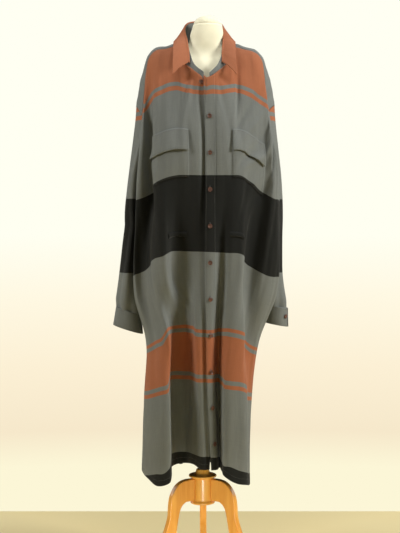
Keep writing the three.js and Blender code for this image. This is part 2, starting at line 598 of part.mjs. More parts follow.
// ---------------------------------------------------------------- sleeves and cuffs
// The armhole seam of one side, anticlockwise from above, from the front end of the yoke.
function armhole(side) {
  const s = side === 'left' ? 1 : -1;
  const edge = (grid, columns, column) => grid.map((row) => row[columns.indexOf(column)]);
  const upTo = (list, rows) => list.slice(0, TOP_ROWS.length + rows.indexOf(LEVEL.chest) + 1);
  const front = upTo(edge(grids[side], FRONT_COLUMNS[side], s * SEAM_EDGE), FRONT_ROWS);
  const back = upTo(edge(backGrid, BACK_COLUMNS, s * SEAM_EDGE), BACK_ROWS);
  const over = edge(yokeGrid, YOKE_COLUMNS, s * HALF_FRONT).reverse();
  const loop = [...over, ...back.slice(1), ...front.slice(1, -1).reverse()];
  return s > 0 ? loop : loop.reverse();
}

function oval({ x, y, z, halfX, halfY }, angle, grow = 0) {
  return new THREE.Vector3(x + (halfX + grow) * Math.cos(angle), y + (halfY + grow) * Math.sin(angle), z);
}

// Angles round the sleeve for the points of the armhole, measured from the outer side.
function sleeveAngles(loop, side) {
  const middle = loop.reduce((sum, p) => sum.addScaledVector(p, 1 / loop.length), new THREE.Vector3());
  const s = side === 'left' ? 1 : -1;
  const raw = loop.map((p) => Math.atan2(p.y - middle.y, (p.z - middle.z) * 0.8));
  return raw.map((angle) => (s > 0 ? angle : Math.PI - angle));
}

const SLEEVE_SHIFT = 4.6;     // the sleeve starts this far below the armhole seam
const SLEEVE_STEPS = [0, 0.12, 0.27, 0.46, 0.7];
function cuffTilt(side, angle) {
  const out = side === 'left' ? 0 : Math.PI;
  return CUFFS[side].tilt * (1 - Math.cos(angle - out)) / 2;
}
function sleeveGrid(side) {
  const loop = armhole(side);
  const angles = sleeveAngles(loop, side);
  const sections = SLEEVES[side];
  const s = side === 'left' ? 1 : -1;
  const ring = (section, k) => angles.map((angle) => {
    const wave = Math.cos(SLEEVE_CREASE.count * angle + SLEEVE_CREASE.drift * k);
    return oval(section, angle, SLEEVE_CREASE.depth * wave);
  });
  const first = ring(sections[0], 0);
  const grid = SLEEVE_STEPS.map((t) => loop.map((p, j) => {
    const third = (p.z - first[j].z) / 3;
    const low = smooth((1400 - p.z) / 120);
    const lead = new THREE.Vector3(s * lerp(8, 42, low), 0, -third).normalize();
    const start = p.clone().addScaledVector(lead, SLEEVE_SHIFT);
    const above = first[j].clone().add(new THREE.Vector3(s * 4, 0, third));
    return curveAt(start, start.clone().addScaledVector(lead, Math.max(third, 18)), above, first[j], t);
  }));
  const { top, topZ } = CUFFS[side];
  const keys = [...sections.map((row) => -row.z), -topZ];
  const column = (name) => through(keys, [...sections.map((row) => row[name]), top[name]]);
  const at = { x: column('x'), y: column('y'), halfX: column('halfX'), halfY: column('halfY') };
  const steps = 8;
  for (let k = 0; k <= steps; k += 1) {
    const z = lerp(sections[0].z, topZ, k / steps);
    const section = { z, x: at.x(-z), y: at.y(-z), halfX: at.halfX(-z), halfY: at.halfY(-z) };
    const row = ring(section, k / 2);
    const low = smooth((k - 4) / 4);
    grid.push(row.map((p, j) => p.setZ(p.z + low * (cuffTilt(side, angles[j]) + 2 * SEAM_GAP))));
  }
  return grid;
}

function cuffGrid(side) {
  const { top, bottom, topZ, slit } = CUFFS[side];
  const between = (name, t) => lerp(top[name], bottom[name], t);
  const sides = 18;
  const out = side === 'left' ? 0 : Math.PI;
  const slitAt = slit === 'back' ? Math.PI / 2 : out - 0.35;
  const rows = [];
  for (const t of [0, 0.45, 1]) {
    const names = ['x', 'y', 'halfX', 'halfY'];
    const section = Object.fromEntries(names.map((name) => [name, between(name, t)]));
    const halfSlit = CUFF_SLIT / 2 / section.halfY;
    const row = [];
    for (let j = 0; j <= sides; j += 1) {
      const angle = slitAt + halfSlit + (2 * Math.PI - 2 * halfSlit) * (j / sides);
      row.push(oval({ ...section, z: topZ - CUFF_DEPTH * t + cuffTilt(side, angle) }, angle));
    }
    rows.push(row);
  }
  return rows;
}

for (const side of ['right', 'left']) {
  add(`sleeve_${side}`, clothWall(sleeveGrid(side), { wrap: true }), greyCloth);
  const cuff = cuffGrid(side);
  add(`cuff_${side}`, clothWall(cuff, { thickness: 2.4 }), greyCloth);
  const outward = normalsOf(cuff, false);
  placeButton(`cuff_button_${side}`, { point: cuff[1][17], outward: outward[1][17] }, 2 * SEAM_GAP);
}

// ---------------------------------------------------------------- collar
// A line of the collar from the right front round the back to the left, keyed by its table rows.
const LEAF_END = COLLAR.length - 1;
const collarKeys = Array.from({ length: 2 * LEAF_END + 1 }, (_, i) => i - LEAF_END);
const collarRow = (key) => COLLAR[Math.abs(key)];
const collarPoints = (column) => collarKeys.map((key) => {
  const [x, y, z] = collarRow(key)[column];
  return [x * Math.sign(key) + (column === 'fold' ? collarRow(key).lean : COLLAR_EDGE_LEAN), y, z];
});
const collarFold = pointsThrough(collarKeys, collarPoints('fold'));
const collarEdge = pointsThrough(collarKeys, collarPoints('edge'));

const LEAF_COLUMNS = 32;
const leafGrid = [0, 0.1, 0.36, 0.68, 1].map((t) => {
  const row = [];
  for (let k = 0; k <= LEAF_COLUMNS; k += 1) {
    const key = lerp(-LEAF_END, LEAF_END, k / LEAF_COLUMNS);
    const fold = v3(collarFold(key));
    const edge = v3(collarEdge(key));
    const away = new THREE.Vector3(edge.x - fold.x, edge.y - fold.y, 0).normalize();
    const roll = 3.4 + LEAF_ROLL * Math.sin(Math.PI * Math.sqrt(t));
    const point = fold.clone().lerp(edge, t).addScaledVector(away, roll);
    point.z += 4 * (1 - t) + 3 * Math.sin(Math.PI * t);
    row.push(point);
  }
  return row;
});
add('collar_leaf', clothWall(leafGrid), rustCloth);

// The stand rises from the panels' own neckline: the yoke behind, the fronts before the shoulders.
const NECK_RISE = 0.8;
function neckline(key) {
  const row = collarRow(key);
  const across = row.across * Math.sign(key);
  const onYoke = Math.abs(key) <= 3;
  const point = onYoke ? yokeStart(across) : v3(frontTopAt(across));
  return [point.x, point.y, point.z + NECK_RISE];
}
const standKeys = [-LEAF_END - 1, ...collarKeys, LEAF_END + 1];
function standLine(part, points) {
  return pointsThrough(standKeys, [STAND_ENDS.right[part], ...points, STAND_ENDS.left[part]]);
}
const standBase = standLine('base', collarKeys.map(neckline));
const standTop = standLine('top', collarPoints('fold'));
const STAND_COLUMNS = 36;
const standGrid = [1, 0.5, 0].map((t) => {
  const row = [];
  for (let k = 0; k <= STAND_COLUMNS; k += 1) {
    const key = lerp(-LEAF_END - 1, LEAF_END + 1, k / STAND_COLUMNS);
    row.push(v3(standBase(key)).lerp(v3(standTop(key)), t));
  }
  return row;
});
add('collar_stand', clothWall(standGrid), greyCloth);

// ---------------------------------------------------------------- dress form
const neckTilt = (z) => NECK_TILT.by * Math.max(0, (z - NECK_TILT.from) / (FORM.at(-1).z - NECK_TILT.from));
const formRings = FORM.map(({ z, half, front, back }) => {
  const ring = [];
  for (let j = 0; j < FORM_SIDES; j += 1) {
    const angle = (2 * Math.PI * j) / FORM_SIDES;
    const reach = Math.sin(angle) > 0 ? back : -front;
    ring.push(new THREE.Vector3(FORM_X + neckTilt(z) + half * Math.cos(angle), reach * Math.sin(angle), z));
  }
  return ring;
});
add('form_body', loft(formRings), linen);
const capProfile = [[0, 0], [CAP.radius, 0], [CAP.lip, 4]];
for (let i = 1; i < 6; i += 1) {
  const angle = (i / 6) * (Math.PI / 2);
  capProfile.push([CAP.lip * Math.cos(angle), 4 + (CAP.height - 4) * Math.sin(angle)]);
}
capProfile.push([0, CAP.height]);
const cap = add('form_cap', new THREE.LatheGeometry(capProfile.map((p) => new THREE.Vector2(...p)), 24)
  .rotateX(Math.PI / 2), linen);
cap.position.set(FORM_X + NECK_TILT.by, 0, FORM.at(-1).z + SEAM_GAP);

// ---------------------------------------------------------------- stand
function turned(profile, sides) {
  return new THREE.LatheGeometry(profile.map((p) => new THREE.Vector2(...p)), sides).rotateX(Math.PI / 2);
}
const stand = new THREE.Group();
stand.position.x = STAND_X;
model.add(stand);

const clear = POLE_RADIUS + SEAM_GAP;
add('pole', turned([[0, HUB.bottom + 12], [POLE_RADIUS, HUB.bottom + 12], [POLE_RADIUS, FORM[0].z - SEAM_GAP],
  [0, FORM[0].z - SEAM_GAP]], 16), steel, stand);
add('hub', turned([[clear, HUB.bottom], [HUB.foot - 3, HUB.bottom], [HUB.foot, HUB.bottom + 3],
  [HUB.foot - 1, HUB.bottom + 7], [HUB.radius, HUB.flare], [HUB.radius, HUB.top], [clear, HUB.top],
  [clear, HUB.bottom]], 24), beech, stand);
const discBottom = HUB.top + SEAM_GAP;
add('hub_disc', turned([[clear, discBottom], [HUB.radius + 1, discBottom], [DISC.radius - 2, discBottom + 2],
  [DISC.radius, discBottom + 4.5], [DISC.radius - 2, discBottom + 7.5],
  [DISC.radius - 10, discBottom + DISC.thick], [DISC.neck, discBottom + DISC.thick + 6],
  [DISC.neck - 2, DISC.neckTop], [clear, DISC.neckTop], [clear, discBottom]], 24), beech, stand);

function legGeometry() {
  const shape = new THREE.Shape();
  const joint = HUB.radius + LEG.bevel + 0.8;
  shape.moveTo(joint, LEG_OUTER[0][1] - 1);
  shape.lineTo(...LEG_OUTER[0]);
  shape.splineThru(LEG_OUTER.slice(1).map((p) => new THREE.Vector2(...p)));
  shape.quadraticCurveTo(256, 22, 256, 12);
  shape.lineTo(256, LEG.bevel);
  shape.lineTo(LEG_INNER[0][0], LEG.bevel);
  shape.splineThru(LEG_INNER.slice(1).map((p) => new THREE.Vector2(...p)));
  shape.lineTo(joint, HUB.flare + LEG.bevel + 2);
  shape.closePath();
  const flat = LEG.thick - 2 * LEG.bevel;
  const geometry = new THREE.ExtrudeGeometry(shape, {
    depth: flat,
    curveSegments: 1,
    bevelEnabled: true,
    bevelThickness: LEG.bevel,
    bevelSize: LEG.bevel,
    bevelSegments: 1,
  });
  return geometry.translate(0, 0, -flat / 2).rotateX(Math.PI / 2);
}
LEG.bearings.forEach((bearing, i) => {
  const turn = new THREE.Group();
  turn.rotation.z = THREE.MathUtils.degToRad(bearing);
  stand.add(turn);
  add(`leg_${i + 1}`, legGeometry(), beech, turn);
});

// The origin is under the middle of the whole object, on the floor.
model.updateMatrixWorld(true);
const box = new THREE.Box3().setFromObject(model);
const middle = box.getCenter(new THREE.Vector3());
const object = new THREE.Group();
model.position.set(-middle.x, -middle.y, -box.min.z);
object.add(model);

export default object;
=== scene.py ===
# A long shirt dress in a striped woven cloth, hung on a limbless dress form with a turned beech tripod.
# Metres in the scene, millimetres in the tables; +Z up, the front faces -Y.
import math
from functools import lru_cache

import bmesh
import bpy
from mathutils import Matrix, Vector, noise


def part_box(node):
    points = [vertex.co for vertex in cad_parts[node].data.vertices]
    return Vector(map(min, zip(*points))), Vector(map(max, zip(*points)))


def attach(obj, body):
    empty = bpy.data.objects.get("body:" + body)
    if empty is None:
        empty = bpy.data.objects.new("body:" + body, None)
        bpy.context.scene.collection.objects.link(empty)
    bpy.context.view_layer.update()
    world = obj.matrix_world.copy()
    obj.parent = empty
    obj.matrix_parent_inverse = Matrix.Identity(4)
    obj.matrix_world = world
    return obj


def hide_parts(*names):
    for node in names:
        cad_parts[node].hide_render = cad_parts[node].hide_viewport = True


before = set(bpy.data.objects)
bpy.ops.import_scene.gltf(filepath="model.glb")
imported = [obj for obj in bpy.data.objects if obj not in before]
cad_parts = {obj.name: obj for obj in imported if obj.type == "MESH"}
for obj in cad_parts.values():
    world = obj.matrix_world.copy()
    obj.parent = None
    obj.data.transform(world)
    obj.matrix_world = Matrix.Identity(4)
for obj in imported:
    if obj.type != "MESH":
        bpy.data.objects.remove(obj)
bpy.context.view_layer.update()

# ---------------------------------------------------------------- camera
# The view from the front: a long lens level with the lower chest, tipped slightly down.
# Measures across and back start in the middle of the dress, which the pole stands 10 mm beside.
MM = 0.001
STAND_X = -10
pole_low, pole_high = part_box("pole")
ORIGIN = Vector(((pole_low[0] + pole_high[0]) / 2 - STAND_X * MM, (pole_low[1] + pole_high[1]) / 2, 0))


def at(x, y, z):
    return ORIGIN + Vector((x, y, z)) * MM


view = bpy.data.objects.new("camera", bpy.data.cameras.new("camera"))
view.data.lens = 72.05
view.location = at(-18, -3200, 1035)
view.rotation_euler = (math.radians(90 - 1.69), 0, 0)
bpy.context.collection.objects.link(view)
bpy.context.scene.camera = view

# ---------------------------------------------------------------- studio
# A pale floor in front of a bright paper wall, lit by soft boxes at both sides and above the dress, by
# two small ones behind it and by a low lamp that reaches the tripod.


def linear(*screen):
    """A colour given as screen values from 0 to 255."""
    return (*(((c / 255 + 0.055) / 1.055) ** 2.4 if c > 10 else c / 255 / 12.92 for c in screen), 1)


class Amount:
    """A number that a material works out for each place, with the usual arithmetic."""

    def __init__(self, finish, socket):
        self.finish, self.socket = finish, socket

    def math(self, operation, *others, turned=False):
        terms = [*others, self] if turned else [self, *others]
        return self.finish.node("ShaderNodeMath", {"operation": operation}, dict(enumerate(terms)))

    def __add__(self, other):
        return self.math("ADD", other)

    def __sub__(self, other):
        return self.math("SUBTRACT", other)

    def __rsub__(self, other):
        return self.math("SUBTRACT", other, turned=True)

    def __mul__(self, other):
        return self.math("MULTIPLY", other)

    def __truediv__(self, other):
        return self.math("DIVIDE", other)

    def __rtruediv__(self, other):
        return self.math("DIVIDE", other, turned=True)

    def __gt__(self, other):
        return self.math("GREATER_THAN", other)

    def __lt__(self, other):
        return self.math("LESS_THAN", other)

    __radd__, __rmul__ = __add__, __mul__


class Finish:
    """A material on one principled shader. fixed gives what is the same all over it."""

    def __init__(self, name, fixed):
        self.material = bpy.data.materials.new(name)
        self.material.use_nodes = True
        self.shader = self.material.node_tree.nodes["Principled BSDF"]
        for socket, value in fixed.items():
            self.shader.inputs[socket].default_value = value

    def node(self, kind, settings, inputs, out=0):
        made = self.material.node_tree.nodes.new(kind)
        for key, value in settings.items():
            setattr(made, key, value)
        for key, value in inputs.items():
            if isinstance(value, Amount):
                self.material.node_tree.links.new(value.socket, made.inputs[key])
            else:
                made.inputs[key].default_value = value
        return Amount(self, made.outputs[out])

    def feed(self, socket, value):
        self.material.node_tree.links.new(value.socket, self.shader.inputs[socket])

    def place(self, scale=(1, 1, 1)):
        """Object coordinates, stretched by scale."""
        where = self.node("ShaderNodeTexCoord", {}, {}, "Object")
        return self.node("ShaderNodeMapping", {}, {"Vector": where, "Scale": scale})

    def noise(self, vector, scale, detail=2):
        return self.node("ShaderNodeTexNoise", {}, {"Vector": vector, "Scale": scale, "Detail": detail})

    def mix(self, factor, one, other):
        return self.node("ShaderNodeMix", {"data_type": "RGBA"}, {0: factor, 6: one, 7: other}, 2)

    def bump(self, height, strength, distance):
        sockets = {"Height": height, "Strength": strength, "Distance": distance}
        self.feed("Normal", self.node("ShaderNodeBump", {}, sockets))


def piece(name, bm, material, smooth=True):
    """An object at the origin from a finished mesh."""
    mesh = bpy.data.meshes.new(name)
    bm.to_mesh(mesh)
    bm.free()
    if smooth:
        mesh.shade_smooth()
    mesh.materials.append(material)
    made = bpy.data.objects.new(name, mesh)
    bpy.context.collection.objects.link(made)
    return made


floor_paint = Finish("floor_paint", {"Roughness": 0.75})
floor_paint.feed("Base Color", floor_paint.mix(
    floor_paint.noise(floor_paint.place(), 3), linear(255, 234, 172), linear(255, 238, 182)))
FLOOR_MIDDLE, FLOOR_HALF = (0, -2230, 0), (4, 3)   # the second is half its width and depth, in metres
bm = bmesh.new()
bmesh.ops.create_grid(bm, x_segments=1, y_segments=1, size=1)
spread = Matrix.Translation(at(*FLOOR_MIDDLE)) @ Matrix.Diagonal((*FLOOR_HALF, 1, 1))
bmesh.ops.transform(bm, matrix=spread, verts=bm.verts)
piece("floor", bm, floor_paint.material, smooth=False)

world = bpy.data.worlds.new("studio")
world.use_nodes = True
bpy.context.scene.world = world
paper = world.node_tree
AIR = 0.028             # light from all round, against what the camera sees behind the dress
PAPER_AND_SHADE = [(0.0, (252, 246, 215)), (0.395, (252, 246, 215)), (0.41, (246, 232, 203)), (0.44, (252, 240, 213)),
         (0.47, (255, 248, 226)), (0.5, (255, 255, 241)), (1.0, (255, 255, 248))]   # from the floor up: the paper's colour with painted shade, darker and warmer low on the wall
glow = paper.nodes["Background"]


def scaled(source, factor, offset):
    """A value of the world's nodes, multiplied and then raised."""
    made = paper.nodes.new("ShaderNodeMath")
    made.operation = "MULTIPLY_ADD"
    made.inputs[1].default_value, made.inputs[2].default_value = factor, offset
    paper.links.new(source, made.inputs[0])
    return made.outputs[0]


seen = paper.nodes.new("ShaderNodeLightPath")
paper.links.new(scaled(seen.outputs["Is Camera Ray"], 1 - AIR, AIR), glow.inputs["Strength"])
facing = paper.nodes.new("ShaderNodeTexCoord")
height = paper.nodes.new("ShaderNodeSeparateXYZ")
paper.links.new(facing.outputs["Generated"], height.inputs[0])
# Painted shade: the backdrop is darker and warmer near the floor and lightest at the top.
paper_and_shade = paper.nodes.new("ShaderNodeValToRGB")
for spot, shade in PAPER_AND_SHADE[1:-1]:
    paper_and_shade.color_ramp.elements.new(spot).color = linear(*shade)
for end in (0, -1):
    paper_and_shade.color_ramp.elements[end].color = linear(*PAPER_AND_SHADE[end][1])
paper.links.new(scaled(height.outputs["Z"], 0.5, 0.5), paper_and_shade.inputs["Fac"])
paper.links.new(paper_and_shade.outputs["Color"], glow.inputs["Color"])
bpy.context.scene.view_settings.view_transform = "Standard"

BOXES = [  # name, place, size in metres, power in watts and the height that it points at
    ("key", (2500, -1150, 2350), 0.8, 78, 1350),
    ("fill", (-2500, -1150, 2350), 0.8, 46, 1350),
    ("top", (140, -420, 3300), 1.2, 20, 0),
    ("right_rim", (-1300, 800, 700), 0.5, 2.5, 290),
    ("left_rim", (1300, 800, 700), 0.5, 2.5, 290),
]


def hang_lamp(lamp, place, target):
    """Hangs a lamp at a place, turned towards a height in the middle of the dress."""
    made = bpy.data.objects.new(lamp.name, lamp)
    made.location = at(*place)
    made.rotation_euler = (at(0, 0, target) - made.location).to_track_quat("-Z", "Y").to_euler()
    bpy.context.collection.objects.link(made)


for name, place, size, power, target in BOXES:
    lamp = bpy.data.lights.new(name, "AREA")
    lamp.size, lamp.energy = size, power
    hang_lamp(lamp, place, target)
low_lamp = bpy.data.lights.new("low", "SPOT")
low_lamp.energy, low_lamp.shadow_soft_size = 33, 0.1
low_lamp.spot_size, low_lamp.spot_blend = math.radians(30), 0.15
hang_lamp(low_lamp, (60, -1300, 60), 20)

# ---------------------------------------------------------------- tripod: pole, hub and legs
# A bright steel pole in a turned beech hub under a moulded disc, with three legs sawn from beech
# board, rounded at their edges, varnished and screwed to the hub from inside.
GRAIN = (90, 90, 6)     # how often the grain changes in a metre, across and up


def wood_finish(name, light, dark):
    """Varnished wood with its grain upright."""
    finish = Finish(name, {"IOR": 1.5, "Coat Roughness": 0.16})
    grain = finish.noise(finish.place(GRAIN), 1, 6)
    fine = finish.noise(finish.place(tuple(3 * often for often in GRAIN)), 2, 3)
    figure = grain * 0.7 + fine * 0.3
    finish.feed("Base Color", finish.mix((figure - 0.35) * 2.4, linear(*dark), linear(*light)))
    finish.feed("Roughness", figure * 0.25 + 0.28)
    finish.feed("Coat Weight", figure * 0.2 + 0.3)
    finish.bump(figure, 0.2, 0.0004)
    return finish.material


varnished = wood_finish("varnished_leg", (246, 182, 80), (228, 150, 50))
# The hub and its disc are the same beech as the legs, painted lighter to make up for the shade that the dress
# casts on them.
turned_wood_painted_lighter = wood_finish("turned_hub_painted_lighter", (253, 198, 100), (240, 170, 64))


def spun(name, profile, material):
    """A turned piece from its outline, as radius and height, round the axis of the stand."""
    bm = bmesh.new()
    outline = [bm.verts.new(at(STAND_X + r, 0, z)) for r, z in profile]
    edges = [bm.edges.new(pair) for pair in zip(outline, outline[1:] + outline[:1])]
    bmesh.ops.spin(bm, geom=outline + edges, cent=at(STAND_X, 0, 0), axis=(0, 0, 1), dvec=(0, 0, 0),
                   angle=2 * math.pi, steps=64, use_merge=True, use_duplicate=False)
    bmesh.ops.remove_doubles(bm, verts=bm.verts, dist=1e-5)
    bmesh.ops.recalc_face_normals(bm, faces=bm.faces)
    return piece(name, bm, material)


def soften(made, width, segments=3):
    """Rounds the sharp edges of a wooden piece."""
    bevel = made.modifiers.new("rounded", "BEVEL")
    bevel.width, bevel.segments = width * MM, segments
    bevel.limit_method, bevel.angle_limit = "ANGLE", math.radians(35)
    made.modifiers.new("faces", "WEIGHTED_NORMAL")


def carried(made, slot, *nodes):
    """The piece stands still on the one body and takes the place of the given solids, if any."""
    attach(made, "root")
    if nodes:
        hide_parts(*nodes)


BORE = 10.3             # radius of the hole that the pole goes through
hub = spun("hub_turned", [(BORE, 227), (34, 227), (36.4, 228), (37, 231), (36, 234), (32.2, 237), (31.5, 240),
                          (31.5, 303.5), (30.5, 305), (BORE, 305)], turned_wood_painted_lighter)
soften(hub, 0.8)
carried(hub, "beech", "hub")
disc = spun("disc_turned", [(BORE, 305.3), (33, 305.3), (38, 306), (41, 307.5), (42, 310), (41.2, 312.6),
                            (38, 314), (32.5, 314.8), (29.6, 315), (29, 316), (24.5, 317.6), (21.8, 320.3),
                            (20.2, 324.4), (19.2, 328.8), (18.2, 330), (BORE, 330)], turned_wood_painted_lighter)
soften(disc, 0.6)
carried(disc, "beech", "hub_disc")

brushed = Finish("brushed_steel", {"Metallic": 1.0})
scratch = brushed.noise(brushed.place((60, 60, 900)), 4, 3)
brushed.feed("Base Color", brushed.mix(scratch, linear(138, 138, 136), linear(176, 176, 172)))
brushed.feed("Roughness", scratch * 0.2 + 0.22)
pole = spun("pole_tube", [(8.6, 239.5), (9.4, 239), (10, 239.6), (10, 883), (8.6, 883)], brushed.material)
carried(pole, "steel", "pole")

# A leg's board: distance from the axis and height, from its top outside to its foot, and back inside.
LEG_OUTER = [(56, 304), (74, 300), (90, 290), (103, 273), (111, 254), (115, 228), (117, 198), (126, 167),
             (141, 132), (164, 94), (195, 56), (226, 33), (247, 26), (255, 21), (257.6, 12)]
LEG_INNER = [(205, 0), (180, 20), (150, 54), (119, 100), (98, 140), (91, 172), (86, 198), (81, 217),
             (73, 230), (62, 238)]
LEG_THICK, LEG_BEARINGS = 20, (89, 210, 330)
JOINT, JOINT_LOW, JOINT_HIGH = 32.3, 239.5, 304   # the straight end against the hub


def through(keys, values):
    """A smooth function of one number through the given keys and values."""
    count = len(keys)
    secant = [(values[i + 1] - values[i]) / (keys[i + 1] - keys[i]) for i in range(count - 1)]
    slope = [secant[0], *((a + b) / 2 for a, b in zip(secant, secant[1:])), secant[-1]]

    def value(key):
        i = 0
        while i < count - 2 and key > keys[i + 1]:
            i += 1
        span = keys[i + 1] - keys[i]
        t = min(1, max(0, (key - keys[i]) / span))
        t2, t3 = t * t, t * t * t
        return ((2 * t3 - 3 * t2 + 1) * values[i] + (t3 - 2 * t2 + t) * span * slope[i]
                + (3 * t2 - 2 * t3) * values[i + 1] + (t3 - t2) * span * slope[i + 1])
    return value


def points_through(keys, points):
    """The same through points."""
    axes = [through(keys, [p[axis] for p in points]) for axis in range(len(points[0]))]
    return lambda key: Vector([f(key) for f in axes])


def finer(outline, count):
    """The outline's points joined by a smooth line."""
    line = points_through(range(len(outline)), outline)
    return [tuple(line(i * (len(outline) - 1) / count)) for i in range(count + 1)]


for number, bearing in enumerate(LEG_BEARINGS, 1):
    bm = bmesh.new()
    outline = [(JOINT, JOINT_HIGH), *finer(LEG_OUTER, 60), (LEG_OUTER[-1][0], 0), *finer(LEG_INNER, 48),
               (JOINT, JOINT_LOW)]
    board = bm.faces.new([bm.verts.new((r * MM, -LEG_THICK / 2 * MM, z * MM)) for r, z in outline])
    wide = bmesh.ops.extrude_face_region(bm, geom=[board])["geom"]
    far_side = [v for v in wide if isinstance(v, bmesh.types.BMVert)]
    bmesh.ops.translate(bm, vec=(0, LEG_THICK * MM, 0), verts=far_side)
    bmesh.ops.recalc_face_normals(bm, faces=bm.faces)
    turn = Matrix.Translation(at(STAND_X, 0, 0)) @ Matrix.Rotation(math.radians(bearing), 4, "Z")
    bmesh.ops.transform(bm, matrix=turn, verts=bm.verts)
    leg = piece(f"leg_board_{number}", bm, varnished)
    soften(leg, 2.6, 4)
    carried(leg, "beech", f"leg_{number}")

# ---------------------------------------------------------------- dress form
# A padded limbless torso pulled tight in cream jersey, with a cap of the same jersey gathered over the
# top of its neck.
FORM = [  # height, half width, and how far the front and the back reach
    (884, 140, 86, 84), (890, 147, 92, 90), (960, 158, 98, 98), (1050, 156, 98, 100), (1150, 136, 90, 88),
    (1230, 120, 84, 76), (1320, 132, 98, 84), (1400, 148, 108, 92), (1460, 156, 98, 94), (1510, 160, 78, 88),
    (1545, 157, 60, 74), (1562, 145, 48, 62), (1575, 112, 44, 56), (1586, 74, 44, 52), (1600, 55, 46, 48),
    (1630, 50, 46, 44), (1660, 43, 42, 42),
]
NECK_TILT, NECK_FOOT, NECK_LENGTH = 5, 1600, 60   # how far the neck leans to the left, from where to where
form_at = points_through([row[0] for row in FORM], [row[1:] for row in FORM])

jersey = Finish("cream_jersey", {"Sheen Weight": 0.15, "Sheen Roughness": 0.5})
knit = jersey.node("ShaderNodeTexWave", {"wave_type": "BANDS", "bands_direction": "X"},
                   {"Vector": jersey.place(), "Scale": 420, "Distortion": 1.2, "Detail": 1})
soil = jersey.noise(jersey.place(), 14, 3)
jersey.feed("Base Color", jersey.mix(soil, linear(252, 244, 208), linear(255, 250, 220)))
jersey.feed("Roughness", soil * 0.1 + 0.82)
jersey.bump(knit, 0.25, 0.0003)


def jersey_skin(name, columns, rows, place, node):
    """A closed skin, each point at place(s, t): s runs all round and t from one end to the other."""
    bm = bmesh.new()
    bmesh.ops.create_grid(bm, x_segments=columns, y_segments=rows, size=0.5)
    for v in bm.verts:
        v.co = at(*place(v.co.x + 0.5, 0.5 - v.co.y))
    bmesh.ops.remove_doubles(bm, verts=bm.verts, dist=2e-5)
    bm.normal_update()
    bmesh.ops.holes_fill(bm, edges=[e for e in bm.edges if e.is_boundary], sides=0)
    bmesh.ops.recalc_face_normals(bm, faces=bm.faces)
    carried(piece(name, bm, jersey.material), "linen", node)


def torso_skin(s, t):
    z = FORM[-1][0] + (FORM[0][0] - FORM[-1][0]) * t
    half, front, back = form_at(z)
    turn = 2 * math.pi * s
    tilt = NECK_TILT * max(0, (z - NECK_FOOT) / NECK_LENGTH)
    return tilt + half * math.cos(turn), (back if math.sin(turn) > 0 else front) * math.sin(turn), z


jersey_skin("form_torso", 96, 120, torso_skin, "form_body")

CAP_RADIUS, CAP_FOOT, CAP_HEIGHT, CAP_GATHERS, GATHER_DEPTH = 42, 1660.3, 27.5, 26, 0.5


def cap_skin(s, t):
    turn = 2 * math.pi * s
    rise = math.sin(t * math.pi / 2)
    wave = math.sin(CAP_GATHERS * turn + 1.5 * math.sin(3 * turn))
    gather = wave * GATHER_DEPTH * math.sin(math.pi * min(1, 1.3 * t))
    radius = max(CAP_RADIUS * math.cos(t * math.pi / 2) + gather * (1 - rise), 0)
    return NECK_TILT + radius * math.cos(-turn), radius * math.sin(-turn), CAP_FOOT + CAP_HEIGHT * rise


jersey_skin("form_neck_cap", 208, 24, cap_skin, "form_cap")

# ---------------------------------------------------------------- fronts
# The two front panels, cut from one striped cloth woven across the loom, falling straight from the
# shoulder and the neck. The left one laps over the right one at the buttons.
NECK_POINT = 1604       # height where the shoulder meets the neck; cloth is measured down from it
HALF_FRONT = 368        # cloth from the button line to a side seam
CHEST, HIP, THIGH, KNEE, HEM = 404, 674, 814, 964, 1274   # levels, as cloth below the neck point
SIDE_DROP = {-1: (72, 80, 295), 1: (74, 85, 235)}   # how much lower a side hangs; where that starts and ends
